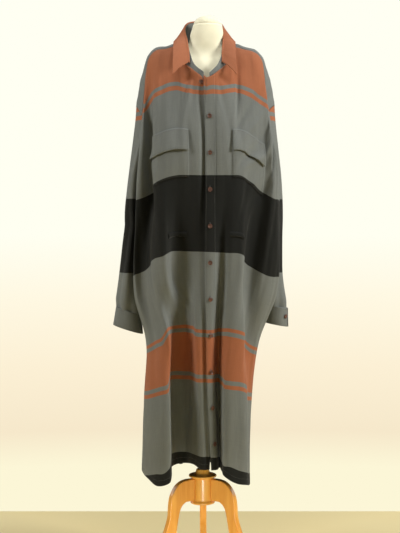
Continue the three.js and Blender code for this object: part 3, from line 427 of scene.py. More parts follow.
# Cloth across from the button line; x and y at the chest, hip, thigh, knee and hem; height of the hem.
FRONT_FOLDS = [
    (-368, (-170, 12), (-176, 12), (-172, 10), (-174, 8), (-184, 26), 350),  # right side seam
    (-339, (-182, -15), (-196, -12), (-176, -20), (-184, -36), (-194, -20), 341),  # right side
    (-305, (-204, -42), (-213, -38), (-178, -50), (-183, -74), (-190, -66), 336),  # right side crest
    (-277, (-205, -69), (-207, -62), (-168, -74), (-168, -104), (-170, -104), 323),  # right side turn
    (-256, (-189, -71), (-188, -56), (-155, -92), (-148, -127), (-144, -131), 309),  # right side slope
    (-222, (-164, -53), (-166, -76), (-130, -116), (-110, -144), (-104, -147), 321),  # right pleat
    (-199, (-152, -66), (-158, -97), (-110, -130), (-105, -122), (-99, -122), 337),  # right pleat wall
    (-184, (-153, -86), (-150, -109), (-106, -118), (-106, -104), (-100, -102), 345),  # right pleat floor
    (-170, (-153, -103), (-139, -118), (-105, -104), (-107, -86), (-101, -80), 351),  # right crest
    (-153, (-142, -120), (-123, -128), (-99, -89), (-98, -66), (-92, -56), 354),  # right chest edge
    (-136, (-126, -126), (-110, -131), (-85, -78), (-84, -56), (-78, -45), 356),  # right chest corner
    (-119, (-109, -130), (-101, -115), (-69, -80), (-68, -58), (-62, -44), 357),  # right chest
    (-80, (-70, -132), (-74, -95), (-44, -107), (-46, -90), (-38, -78), 361),  # right inner roll
    (-40, (-30, -132), (-33, -114), (-25, -129), (-24, -122), (-13, -112), 352),  # right of the buttons
    (0, (11, -129), (11, -131), (11, -128), (12, -121), (28, -112), 351),  # button line
    (40, (48, -131), (44, -112), (40, -99), (35, -82), (40, -76), 350),  # left of the buttons
    (80, (84, -129), (71, -132), (56, -127), (45, -112), (45, -104), 346),  # left inner roll
    (105, (104, -122), (97, -135), (78, -137), (54, -135), (50, -128), 338),  # left chest edge
    (125, (119, -111), (107, -122), (97, -133), (74, -139), (69, -136), 325),  # left crest
    (150, (138, -95), (106, -96), (114, -117), (99, -132), (93, -133), 314),  # left pleat
    (165, (150, -86), (113, -84), (113, -103), (112, -124), (107, -128), 311),  # left pleat turn
    (180, (165, -80), (128, -78), (111, -88), (119, -111), (119, -118), 308),  # left pleat wall
    (195, (178, -84), (143, -82), (116, -75), (118, -96), (124, -104), 304),  # left pleat floor
    (210, (190, -88), (158, -86), (128, -69), (119, -81), (126, -89), 301),  # left small crest
    (240, (206, -78), (184, -76), (149, -58), (130, -58), (131, -60), 297),  # left side slope
    (268, (214, -64), (203, -62), (157, -38), (137, -36), (131, -34), 299),  # left side turn
    (290, (216, -46), (208, -44), (155, -18), (138, -14), (128, -12), 305),  # left side crest
    (330, (194, -22), (184, -16), (147, 12), (131, 22), (127, 26), 326),  # left side
    (368, (170, 12), (168, 14), (142, 40), (126, 54), (124, 62), 350),  # left side seam
]
BACK_FOLDS = [  # the same measures as in FRONT_FOLDS
    (-368, (-170, 12), (-176, 12), (-172, 10), (-174, 8), (-184, 26), 350),  # right side seam
    (-334, (-177, 44), (-182, 46), (-180, 44), (-184, 44), (-193, 62), 346),  # right side
    (-300, (-166, 76), (-168, 80), (-168, 80), (-172, 84), (-178, 100), 338),  # right side crest
    (-258, (-134, 90), (-130, 86), (-129, 84), (-128, 82), (-128, 86), 331),  # right outer valley
    (-216, (-108, 120), (-110, 128), (-111, 132), (-112, 136), (-112, 148), 327),  # right outer crest
    (-172, (-80, 110), (-78, 102), (-78, 98), (-78, 92), (-78, 90), 325),  # right inner valley
    (-126, (-52, 132), (-54, 138), (-56, 143), (-58, 148), (-58, 160), 324),  # right inner crest
    (-74, (-26, 121), (-25, 113), (-25, 108), (-25, 102), (-24, 98), 323),  # right middle valley
    (0, (1, 132), (1, 136), (1, 141), (2, 146), (3, 158), 323),  # middle back
    (74, (28, 121), (28, 112), (28, 107), (29, 102), (30, 98), 323),  # left middle valley
    (126, (54, 132), (57, 139), (58, 143), (58, 148), (58, 160), 324),  # left inner crest
    (172, (80, 109), (80, 101), (77, 99), (74, 97), (73, 95), 325),  # left inner valley
    (216, (108, 120), (108, 130), (102, 134), (96, 140), (94, 150), 327),  # left outer crest
    (258, (134, 91), (131, 89), (120, 94), (108, 101), (106, 108), 331),  # left outer valley
    (300, (161, 79), (162, 84), (144, 94), (126, 108), (126, 122), 338),  # left side crest
    (334, (171, 45), (172, 48), (150, 68), (130, 80), (132, 92), 346),  # left side
    (368, (170, 12), (168, 14), (142, 40), (126, 54), (124, 62), 350),  # left side seam
]
# Cloth across; the panel's top edge there; its cloth below the neck point; how it sets off for the chest.
FRONT_TOP = [
    (-368, (-189, -38, 1390), 165, (2, -34, -90)),  # right armhole
    (-339, (-186, -36, 1420), 150, (0, -34, -90)),  # right arm low
    (-290, (-182, -33, 1468), 116, (0, -32, -88)),  # right arm
    (-245, (-178, -31, 1514), 78, (0, -34, -82)),  # right arm high
    (-205, (-169, -29, 1558), 42, (0, -42, -66)),  # right shoulder turn
    (-172, (-150, -28, 1580), 20, (0, -52, -48)),  # right shoulder
    (-130, (-117, -27, 1586), 17, (0, -58, -40)),  # right mid shoulder
    (-95, (-84, -25, 1591), 15, (0, -58, -46)),  # right neck side
    (-75, (-74, -62, 1552), 57, (0, -40, -60)),  # right neck turn
    (-42, (-43, -97, 1518), 88, (0, -20, -80)),  # right neck
    (0, (9, -116, 1491), 114, (0, -8, -90)),  # throat
    (42, (45, -97, 1518), 88, (0, -20, -80)),  # left neck
    (75, (71, -62, 1552), 57, (0, -40, -60)),  # left neck turn
    (95, (80, -25, 1591), 15, (0, -58, -46)),  # left neck side
    (130, (113, -27, 1584), 17, (0, -58, -40)),  # left mid shoulder
    (172, (147, -28, 1574), 20, (0, -52, -48)),  # left shoulder
    (205, (165, -29, 1551), 42, (0, -42, -66)),  # left shoulder turn
    (245, (172, -31, 1512), 78, (0, -34, -82)),  # left arm high
    (290, (175, -33, 1470), 116, (0, -32, -88)),  # left arm
    (339, (176, -36, 1424), 150, (0, -34, -90)),  # left arm low
    (368, (178, -36, 1396), 165, (2, -30, -90)),  # left armhole
]
THROAT = {  # how the corners of the fronts lie at the throat, which is left undone
    -1: [(-42, (0, 0, 0)), (-20, (-3, -4, -3)), (0, (-12, 3, -1)), (14, (-18, 6, -9))],
    1: [(-13, (6, -6, -7)), (0, (1, -2, 0)), (17, (-2, 0, 2)), (42, (0, 0, 0))],
}
THROAT_FADE = 90        # how far down that reaches
FRONT_EDGE = {-1: 14, 1: -13}                         # the free edge of each front, across
HEM_PARTING, PARTING_HEIGHT, PARTING_WIDTH = 17, 96, 54   # how the right one swings away at the hem
UNDERLAP = 6.5          # how far the right one dips under the left one
ARMHOLE_BOW = {"front": -25, "back": 56}   # how the armhole curves to the front and the back
ARMHOLE_START, ARMHOLE_OUT = 300, 12       # where the cloth begins to follow it, and how far it stands out
STRAIGHT, STRAIGHT_AT_ARM = 140, 78        # how far up the cloth keeps its slope above the chest


def blend(a, b, t):
    return a + (b - a) * t


def ease(t):
    c = min(1, max(0, t))
    return c * c * (3 - 2 * c)


def side_drop(across):
    """How much lower than the middle the cloth hangs there."""
    depth, start, end = SIDE_DROP[-1 if across < 0 else 1]
    return depth * ease((abs(across) - start) / (end - start))


class Hang:
    """How one width of cloth hangs, from its fold table and the edge that it is sewn to."""

    def __init__(self, folds, top, fall, lead, bow):
        keys = [row[0] for row in folds]
        self.levels = [points_through(keys, [row[i] for row in folds]) for i in range(1, 6)]
        self.hem_height = through(keys, [row[6] for row in folds])
        self.top, self.top_fall, self.lead, self.bow = top, fall, lead, bow
        self.column = lru_cache(None)(self.make_column)

    def hem_fall(self, across):
        return NECK_POINT - side_drop(across) - self.hem_height(across)

    def spots(self, low, high):
        """Turns a place on a panel, from 0 to 1 each way, into cloth across and fall."""
        def spot(s, t):
            across = blend(low, high, s)
            return across, blend(self.top_fall(across), self.hem_fall(across), t)
        return spot

    def loose(self, across, fall):
        """0 at the seams of a panel, and 1 where its cloth is free."""
        return ease((HALF_FRONT - abs(across)) / 30) * ease((fall - self.top_fall(across)) / 40)

    def point(self, across, fall):
        return self.column(round(across, 3))(fall)

    def make_column(self, across):
        """One column as a function of the fall: from the table, and above the chest one smooth curve."""
        plan = points_through((CHEST, HIP, THIGH, KNEE, HEM), [level(across) for level in self.levels])
        drop = side_drop(across)

        def low(fall):
            x, y = plan(fall)
            return Vector((x, y, NECK_POINT - fall - drop))

        edge = ease((abs(across) - ARMHOLE_START) / (HALF_FRONT - ARMHOLE_START))
        chest = low(CHEST)
        slope = (low(CHEST + 20) - chest) / 20
        out = math.copysign(ARMHOLE_OUT * edge, across)
        b = self.top(across)
        c = b + self.lead(across)
        d = chest + slope * -blend(STRAIGHT, STRAIGHT_AT_ARM, edge) + Vector((out, self.bow * edge, 0))
        start = self.top_fall(across)
        curve = even_curve(b, c, d, chest)
        return lambda fall: low(fall) if fall >= CHEST else curve((fall - start) / (CHEST - start))


def even_line(line):
    """A line of points as a function of the fraction of its length."""
    run = [0]
    for p, q in zip(line, line[1:]):
        run.append(run[-1] + (q - p).length)

    def point(t):
        want = min(1, max(0, t)) * run[-1]
        i = 0
        while i < len(line) - 2 and run[i + 1] < want:
            i += 1
        return line[i].lerp(line[i + 1], (want - run[i]) / (run[i + 1] - run[i]))
    return point


def even_curve(a, b, c, d):
    """A cubic curve as a function of the fraction of its length."""
    return even_line([a * (1 - t) ** 3 + b * 3 * t * (1 - t) ** 2 + c * 3 * t * t * (1 - t) + d * t ** 3
                      for t in (i / 40 for i in range(41))])


top_keys = [row[0] for row in FRONT_TOP]
front_top = points_through(top_keys, [row[1] for row in FRONT_TOP])
front = Hang(FRONT_FOLDS, front_top, through(top_keys, [row[2] for row in FRONT_TOP]),
             points_through(top_keys, [row[3] for row in FRONT_TOP]), ARMHOLE_BOW["front"])
throat_shift = {side: points_through([k for k, _ in rows], [v for _, v in rows])
                for side, rows in THROAT.items()}


def front_point(side, across, fall):
    """Where a point of the cloth of one front lies before its creases."""
    p = front.point(across, fall).copy()
    under_top = fall - front.top_fall(across)
    if THROAT[side][0][0] <= across <= THROAT[side][-1][0] and under_top < THROAT_FADE:
        p += throat_shift[side](across) * (1 - ease(under_top / THROAT_FADE))
    if side < 0:
        near_hem = ease(1 - (front.hem_fall(across) - fall) / PARTING_HEIGHT)
        p.x -= HEM_PARTING * near_hem * ease(1 - (FRONT_EDGE[side] - across) / PARTING_WIDTH)
    return p


# Creases, listed one by one. Each is a soft trough (or a ridge, where the depth is below zero): across and
# fall of its middle, its slant from upright in degrees, its length, its width and its depth.
FRONT_CREASES = [
    # the right front: gathers falling from the throat, the roll in front of the armhole, the long folds
    (-38, 112, -52, 70, 9, 6.5), (-34, 128, -10, 110, 6, 3.6), (-22, 170, -6, 150, 6, 3.4),
    (-48, 150, -16, 150, 6, -2.0), (-62, 170, -14, 150, 7, 2.6), (-84, 205, -10, 140, 9, 2.0),
    (-112, 190, 4, 150, 12, 1.6),
    (-196, 262, 30, 170, 13, 4.6), (-226, 300, 26, 170, 12, -3.4), (-214, 372, 16, 200, 13, 5.0),
    (-176, 330, 22, 150, 9, -2.2), (-150, 430, 4, 150, 9, 2.0), (-60, 300, 2, 110, 10, 2.4),
    (-52, 420, -3, 160, 12, 1.6), (-96, 520, -2, 260, 14, 1.8), (-34, 540, 1, 260, 12, 1.6),
    (-138, 610, 5, 260, 10, 3.0), (-92, 720, 3, 260, 20, 9.0), (-58, 690, 2, 200, 12, 3.0),
    (-112, 800, -2, 260, 12, 5.0), (-30, 800, 1, 260, 12, 2.6), (-92, 930, 0, 300, 15, 5.0),
    (-60, 1040, 2, 300, 14, 3.6), (-38, 960, -2, 200, 9, -1.8), (-262, 880, 4, 340, 12, 2.2),
    (-238, 1050, -3, 260, 12, -1.8), (-286, 640, 3, 260, 11, 2.8), (-318, 980, 2, 320, 13, 2.4),
    (-250, 760, -4, 220, 9, 2.4), (-205, 640, 4, 200, 10, 3.0), (-24, 1120, 2, 220, 9, 2.6),
    # the left front: gathers under the collar, slanting folds into the armhole, the long folds
    (38, 112, 52, 70, 9, 6.5), (34, 140, 6, 120, 7, 2.6), (52, 205, 8, 150, 8, 1.8),
    (98, 170, -8, 130, 6, 3.0), (84, 190, -12, 110, 7, -1.8), (122, 215, -32, 170, 9, 3.6),
    (148, 235, -36, 170, 8, -3.0),
    (168, 262, -34, 190, 9, 4.2), (196, 280, -30, 180, 8, -3.4), (214, 316, -28, 190, 9, 4.4),
    (236, 250, -14, 200, 9, 4.0), (252, 300, -10, 160, 7, -2.6), (178, 402, -34, 120, 8, 3.2),
    (150, 388, -30, 100, 8, -2.2), (138, 318, -40, 110, 8, 4.2), (158, 322, -40, 110, 8, -3.6),
    (64, 330, 2, 150, 9, 2.0), (48, 430, 2, 200, 11, 1.8),
    (112, 470, -12, 170, 9, 2.6), (140, 520, -10, 200, 9, -2.2), (96, 640, -2, 220, 13, 2.4),
    (44, 640, 1, 240, 10, 2.4), (34, 800, 1, 260, 9, 2.6), (36, 960, 1, 260, 9, 2.4),
    (40, 1120, 0, 220, 9, 2.0), (66, 860, 2, 240, 7, -1.8), (150, 720, 3, 260, 9, 3.4),
    (172, 860, -3, 260, 10, 2.6), (96, 1040, 1, 300, 14, 2.0), (230, 960, 2, 300, 12, 2.8),
    (290, 760, -3, 260, 12, 2.4), (262, 1120, 3, 220, 11, 2.2), (120, 1150, -2, 180, 9, -1.8),
    (222, 560, -5, 260, 10, 3.0), (262, 660, -4, 240, 10, 2.6),
]
CREASE_SCALE, CREASE_WAVER, WAVER_LENGTH = 1.3, 0.16, 31   # creases waver by a share of their width


def crease_depth(creases, across, fall):
    """How far the creases of a table lift the cloth at one place."""
    depth = 0
    for middle, level, slant, length, width, deep in creases:
        dx, dz = across - middle, fall - level
        if abs(dz) > length or abs(dx) > 5 * width + abs(dz):
            continue
        turn = math.radians(slant)
        waver = CREASE_WAVER * width * math.sin(dz / WAVER_LENGTH + middle)
        aside = dx * math.cos(turn) - dz * math.sin(turn) + waver
        along = dx * math.sin(turn) + dz * math.cos(turn)
        depth += CREASE_SCALE * deep * math.exp(-(aside / width) ** 2 - (2 * along / length) ** 2)
    return -depth


def ripple(across, fall, seed, height=1.0):
    """The slight unevenness of washed cloth: long upright waves with small dents between them."""
    long = noise.noise(Vector((across / 26, fall / 210, seed)))
    small = noise.noise(Vector((across / 11, fall / 46, seed + 7)))
    return height * (1.5 * long + 0.45 * small)


# The woven stripes are level in the cloth, but the cloth hangs a little off its thread here and there:
# how much higher it lies at each column and level.
STRIPE_LEVELS = (146, 397, 618, 844, 991, 1212)
STRIPE_LIFT = [
    (-368, (-10, 0, 0, 10, 8, 6)), (-305, (-12, 0, 0, 15, 18, 8)), (-277, (-18, 0, 2, 20, 22, 12)),
    (-256, (-22, 0, 4, 26, 26, 16)), (-240, (-18, 0, 4, 27, 27, 14)), (-222, (-10, 0, 6, 27, 28, 25)),
    (-199, (0, 2, 10, 46, 44, 38)), (-170, (0, 0, 10, 33, 30, 25)), (-153, (0, 0, 6, 25, 22, 18)),
    (-119, (4, 0, 4, 12, 8, 5)), (-80, (2, 0, 2, 3, 3, 0)), (0, (0, 0, 0, -4, 0, -4)),
    (70, (0, 0, -3, 0, -6, -16)), (105, (0, 0, -2, 3, -10, -22)), (125, (0, 0, 0, 8, -4, -14)),
    (150, (0, 2, 4, 16, 8, -8)),
    (170, (-4, 2, 4, 25, 15, 0)), (210, (-10, 4, 4, 19, 15, 12)), (250, (-14, 4, 0, 12, 12, 12)),
    (290, (-10, 0, 0, 6, 6, 8)), (368, (0, 0, 0, 0, 0, 0)),
]
stripe_lift = points_through([row[0] for row in STRIPE_LIFT], [row[1] for row in STRIPE_LIFT])


@lru_cache(None)
def lift_column(across):
    return through(STRIPE_LEVELS, list(stripe_lift(across)))


def front_weave(across, fall):
    """Where a point lies in the cloth's stripes."""
    return fall + lift_column(round(across, 3))(fall)


# The cloth: a washed linen and viscose weave. Its stripes follow each other down the length.
RUST, GREY, BLACK = (165, 100, 66), (117, 120, 115), (22, 23, 19)
RUST_BANDS = [(17, 140), (152, 165), (839, 849), (861, 974), (986, 997)]
BLACK_BANDS = [(397, 618), (1212, 1400)]
THREAD = 0.8            # from one thread to the next


def woven_finish(name):
    """The striped weave, laid out by the cloth's own UV map."""
    finish = Finish(name, {"Sheen Weight": 0.08, "Sheen Roughness": 0.6, "Specular IOR Level": 0.2})
    where = finish.node("ShaderNodeUVMap", {"uv_map": "cloth"}, {})
    split = finish.node("ShaderNodeSeparateXYZ", {}, {"Vector": where})
    across, down = split, Amount(finish, split.socket.node.outputs["Y"])

    def mottle(often_across, often_down, detail=3):
        stretch = {"Vector": where, "Scale": (often_across, often_down, 1)}
        return finish.noise(finish.node("ShaderNodeMapping", {}, stretch), 1, detail)

    warp, weft, streak, cloud = mottle(900, 26), mottle(22, 900), mottle(70, 5, 4), mottle(9, 7)
    pitch = 2 * math.pi / (THREAD * MM)
    threads = (across * pitch).math("SINE") * (down * pitch).math("SINE")
    edge = down + (warp - 0.5) * 0.0016

    def bands(rows):
        total = 0
        for low, high in rows:
            total = (edge > low * MM) * (edge < high * MM) + total
        return total

    melange = (warp - 0.5) * 0.55 + (weft - 0.5) * 0.45 + (streak - 0.5) * 0.4 + (cloud - 0.5) * 0.25 + 0.5

    def yarn(colour, spread):
        return finish.mix(melange, linear(*(c * (1 - spread) for c in colour)),
                          linear(*(c * (1 + spread) for c in colour)))
    striped = finish.mix(bands(RUST_BANDS), yarn(GREY, 0.13), yarn(RUST, 0.10))
    striped = finish.mix(bands(BLACK_BANDS), striped, yarn(BLACK, 0.22))
    finish.feed("Base Color", striped)
    finish.feed("Roughness", melange * 0.12 + 0.8)
    finish.bump(threads * 0.5 + melange * 1.2, 0.35, 0.00035)
    return finish.material


cloth = woven_finish("striped_cloth")
cut_pieces = {}         # every sewn piece with the columns and rows of its mesh


def sew(name, columns, rows, place, weave, lift=None, closed=False, wall=1.3):
    """A piece of cloth. place(s, t) is one side of it, weave(s, t) its place in the stripes and lift(s, t)
    how far it stands off place the way it faces, all in millimetres. Its wall goes the other way."""
    bm = bmesh.new()
    bmesh.ops.create_grid(bm, x_segments=columns, y_segments=rows, size=0.5)
    spot = {v.index: (v.co.x + 0.5, 0.5 - v.co.y) for v in bm.verts}
    uv = bm.loops.layers.uv.new("cloth")
    for face in bm.faces:
        for loop in face.loops:
            across, down = weave(*spot[loop.vert.index])
            loop[uv].uv = (across * MM, down * MM)
    mark = bm.verts.layers.float_vector.new("spot")
    for v in bm.verts:
        s, t = spot[v.index]
        v[mark] = (s, t, 0)
        v.co = at(*place(s, t))
    if closed:
        bmesh.ops.remove_doubles(bm, verts=bm.verts, dist=2e-5)
    bm.normal_update()
    if lift:
        for v in bm.verts:
            v.co += v.normal * lift(v[mark][0], v[mark][1]) * MM
    made = piece(name, bm, cloth)
    thick = made.modifiers.new("wall", "SOLIDIFY")
    thick.thickness, thick.offset = wall * MM, -1
    cut_pieces[name] = made, columns, rows
    return made


def cloth_piece(made, flat, area, held, rests_on, *nodes):
    """Carries a sewn piece and hides the solids that it stands for. What it was cut to, in metres, and how it
    is held are not used.
    """
    carried(made, "striped_cloth", *nodes)


def front_lift(side, across, fall):
    """How far a front's creases lift it. By the buttons they are slighter, and the right one dips."""
    calm = blend(0.25, 1, ease((abs(across - 2) - 15) / 30))
    creases = crease_depth(FRONT_CREASES, across, fall) + ripple(across, fall, 3 + side)
    dip = -UNDERLAP * ease((across + 32) / 16) if side < 0 else 0
    return front.loose(across, fall) * calm * creases + dip


def on_front(name, side, spot, cells, proud=None, wall=1.3):
    """A piece on one front, at the cloth that spot(s, t) gives. proud(s, t) is the gap under the piece."""
    def weave(s, t):
        across, fall = spot(s, t)
        return across, front_weave(across, fall)

    def lift(s, t):
        return front_lift(side, *spot(s, t)) + (proud(s, t) + wall if proud else 0)
    return sew(name, *cells, lambda s, t: front_point(side, *spot(s, t)), weave, lift, wall=wall)


SIDES = {-1: "right", 1: "left"}
for side, name in SIDES.items():
    ends = sorted((side * HALF_FRONT, FRONT_EDGE[side]))
    made = on_front(f"front_{name}_panel", side, front.spots(*ends), (128, 236))
    cloth_piece(made, (0.40, 1.29), 0.42 if side < 0 else 0.39, "hung", ["form_body", "collar_stand"],
                f"front_{name}")

# ---------------------------------------------------------------- pockets, flaps and welts
# Patch pockets of the same cloth topstitched to the chest, each under a flap that is sewn along its
# top edge alone, and a narrow welt at the mouth of each hip pocket.
PATCHES = {-1: (-170, -60), 1: (70, 180)}          # columns of a pocket and its flap
WELTS = {-1: (-119, -60), 1: (70, 115)}
POCKET_TOP, FLAP_END, POCKET_END, WELT_TOP, WELT_END = 271, 329, 404, 560, 574   # rows
POCKET_EASE, WELT_EASE = 1.08, 1.05                # cut width against the width between the edges


def between(columns, rows):
    return lambda s, t: (blend(*columns, s), blend(*rows, t))


def cut_width(columns, share):
    return abs(columns[1] - columns[0]) * MM * share


for side, name in SIDES.items():
    patch, welt = PATCHES[side], WELTS[side]
    made = on_front(f"pocket_{name}_patch", side, between(patch, (POCKET_TOP, POCKET_END)), (44, 52),
                    lambda s, t: 0.3 + 1.4 * math.sin(math.pi * s) * math.sin(math.pi * t), 1.1)
    cloth_piece(made, (cut_width(patch, POCKET_EASE), 0.135), None, "hung", [f"front_{name}"],
                f"pocket_{name}")
    made = on_front(f"flap_{name}_cover", side, between(patch, (POCKET_TOP - 1, FLAP_END)), (44, 22),
                    lambda s, t: 1.8 + 5.2 * t + 0.8 * math.sin(9 * s + 2) * t, 1.8)
    cloth_piece(made, (cut_width(patch, POCKET_EASE), 0.053), None, "hung", [f"pocket_{name}"],
                f"flap_{name}")
    made = on_front(f"welt_{name}_lip", side, between(welt, (WELT_TOP, WELT_END)), (26, 6),
                    lambda s, t: 0.3 + 0.9 * math.sin(math.pi * t), 1.4)
    cloth_piece(made, (cut_width(welt, WELT_EASE), 0.016), None, "laid", [f"front_{name}"], f"welt_{name}")

# ---------------------------------------------------------------- button placket
# A doubled strip of cloth down the edge of the left front, through which the buttonholes are cut.
PLACKET = (-13.6, 17)
made = on_front("placket_strip", 1, front.spots(*PLACKET), (10, 236), lambda s, t: 0.3, 1.6)
cloth_piece(made, (0.031, 1.17), None, "hung", ["front_left"], "placket")

# ---------------------------------------------------------------- back
# One width of the same cloth, gathered a little into the yoke and falling free behind.
BACK_TOP = [  # cloth across; the panel's top edge there; its cloth below the neck point
    (0, (0, 104, 1500), 118),  # middle
    (80, (80, 102, 1498), 119),  # mid back
    (140, (130, 92, 1494), 122),  # blade
    (195, (166, 76, 1480), 132),  # shoulder turn
    (258, (182, 66, 1448), 150),  # arm
    (315, (186, 63, 1408), 168),  # arm low
    (368, (188, 62, 1374), 182),  # armhole
]
BACK_REACH = 187        # x of the front's armhole that BACK_TOP is drawn for
BACK_LEAD = Vector((0, 20, -60))   # how the back sets off from the yoke
half_keys = [row[0] for row in BACK_TOP]
half_top = points_through(half_keys, [row[1] for row in BACK_TOP])
half_fall = through(half_keys, [row[2] for row in BACK_TOP])


def back_top(across):
    """The back's top edge, each side as far out as the front's at the armhole."""
    x, y, z = half_top(abs(across))
    arm = front_top(math.copysign(HALF_FRONT, across))[0]
    reach = 0 if abs(across) < 1 else math.copysign(abs(arm) / BACK_REACH, across)
    return Vector((x * reach, y, z))


back = Hang(BACK_FOLDS, back_top, lambda across: half_fall(abs(across)), lambda across: BACK_LEAD,
            ARMHOLE_BOW["back"])
BACK_CREASES = [
    (-300, 420, -14, 200, 15, 3.6), (-262, 560, -6, 240, 14, 2.2), (-214, 300, -10, 180, 13, 2.6),
    (-150, 380, -3, 240, 15, 2.4), (-96, 230, 4, 180, 12, 2.2), (-40, 300, 0, 260, 14, 2.6),
    (22, 420, 1, 280, 14, 1.8), (86, 260, 3, 220, 12, 2.6), (140, 420, -2, 260, 14, 2.0),
    (206, 320, 9, 200, 14, 3.0), (250, 480, 12, 220, 15, 2.4), (302, 420, 16, 200, 14, 3.4),
    (-230, 800, 2, 340, 16, 2.2), (-130, 900, -2, 360, 15, -2.0), (-30, 820, 2, 340, 15, 2.2),
    (60, 960, -1, 340, 14, 2.4), (150, 860, 2, 360, 15, 2.0), (240, 940, -2, 320, 15, 2.4),
    (310, 820, 2, 300, 14, 2.0), (-310, 900, 2, 340, 14, 2.2), (-180, 1120, 2, 260, 12, 1.8),
    (100, 1130, -2, 240, 12, 1.8), (10, 1100, 2, 240, 12, 2.0),
]
back_spot = back.spots(HALF_FRONT, -HALF_FRONT)


def back_lift(s, t):
    across, fall = back_spot(s, t)
    return back.loose(across, fall) * (crease_depth(BACK_CREASES, across, fall) + ripple(across, fall, 21))


made = sew("back_panel", 210, 190, lambda s, t: back.point(*back_spot(s, t)), back_spot, back_lift)
cloth_piece(made, (0.78, 1.2), 0.62, "hung", ["form_body", "collar_stand"], "back")

# ---------------------------------------------------------------- yoke
# A plain grey shoulder piece cut across the cloth, from the back seam over both shoulders to the
# front seam, and reaching down the upper arms.
NECK_SIDE = 95          # cloth from the middle to the side of the neck
NECK_RIGHT, NECK_LEFT = 84, 80   # how far out the neckline lies there
YOKE_BULGE = {-1: 26, 1: 36}     # how far it stands out over an arm
PLAIN = 260             # where a piece with no stripe is cut from the cloth
neck_at = points_through((0, 45, 75, NECK_SIDE),
                         [(0, 69, 1614), (45, 56, 1612), (72, 14, 1607), (NECK_LEFT, -25, 1592)])


def yoke_start(across):
    """The front edge of the yoke, which is the neckline between the sides of the neck."""
    if abs(across) >= NECK_SIDE:
        return front_top(across)
    x, y, z = neck_at(abs(across))
    return Vector((-x * NECK_RIGHT / NECK_LEFT if across < 0 else x, y, z))


@lru_cache(None)
def yoke_column(across):
    """One curve from the back seam to the front one, set at each for the shoulder, the arm and the neck."""
    start, end = yoke_start(across), back_top(across)
    arm, neck = ease((abs(across) - 150) / (HALF_FRONT - 150)), ease((NECK_SIDE - abs(across)) / 50)
    side = int(math.copysign(1, across))
    out = side * YOKE_BULGE[side] * arm
    lead = Vector((out, blend(blend(30, 22, arm), 16, neck), blend(blend(30, 42, arm), -14, neck)))
    come = Vector((out, blend(blend(-16, -22, arm), -4, neck), blend(blend(92, 56, arm), 52, neck)))
    return even_curve(end, end + come, start + lead, start)


def yoke_across(s):
    # Columns run from right to left and rows from the front over to the back seam, so its mesh faces inwards.
    return blend(-HALF_FRONT, HALF_FRONT, s)


def yoke_lift(s, t):
    edge = ease(t / 0.15) * ease((1 - t) / 0.15) * ease((HALF_FRONT - abs(yoke_across(s))) / 30)
    return 0.9 + edge * ripple(yoke_across(s), 300 * t, 40, 0.9)


made = sew("yoke_piece", 150, 40, lambda s, t: yoke_column(round(yoke_across(s), 3))(1 - t),
           lambda s, t: (yoke_across(s), PLAIN + 110 * t), yoke_lift)
cloth_piece(made, (0.74, 0.18), 0.087, "stretched", ["form_body"], "yoke")

# ---------------------------------------------------------------- sleeves
# Wide dropped sleeves set into the low armholes, striped like the body, with soft creases lengthwise.
SLEEVES = {  # level ovals: height, middle and half sizes
    -1: [(1066, -221, 30, 23, 61), (990, -227, 28, 25, 59), (910, -232, 24, 28, 56), (822, -233, 13, 38, 41)],
    1: [(1066, 208, 50, 22, 58), (990, 205, 50, 24, 55), (910, 206, 48, 26, 50), (814, 214, 33, 35, 39)],
}
CUFF_TILT = {-1: -28, 1: 13}       # how much higher a cuff hangs at its inner side than at its outer one
SLEEVE_CREASES, SLEEVE_CREASE_DEPTH, SLEEVE_DRIFT = 5, 3.4, 0.9
TUCK_IN, TUCK_DOWN = 3, 6          # how far the end of a sleeve goes inside its cuff
SLEEVE_CUT, SLEEVE_ROUND = 64, 330   # where it is cut from the stripes, and cloth all round
LOOP = 132                         # columns of a sleeve


def armhole(side):
    """The armhole seam as evenly spaced points, anticlockwise from above from the yoke's front end."""
    across = side * HALF_FRONT
    line = [yoke_column(across)(i / 30) for i in range(30, -1, -1)]
    line += [back.column(across)(blend(half_fall(HALF_FRONT), CHEST, i / 60)) for i in range(1, 61)]
    line += [front.column(across)(blend(CHEST, front.top_fall(HALF_FRONT), i / 60)) for i in range(1, 61)]
    point = even_line(line if side > 0 else line[::-1])
    return [point(k / LOOP) for k in range(LOOP)]


def cuff_tilt(side, angle):
    """How much higher a sleeve ends at an angle round it than at its outer side."""
    out = 0 if side > 0 else math.pi
    return CUFF_TILT[side] * (1 - math.cos(angle - out)) / 2


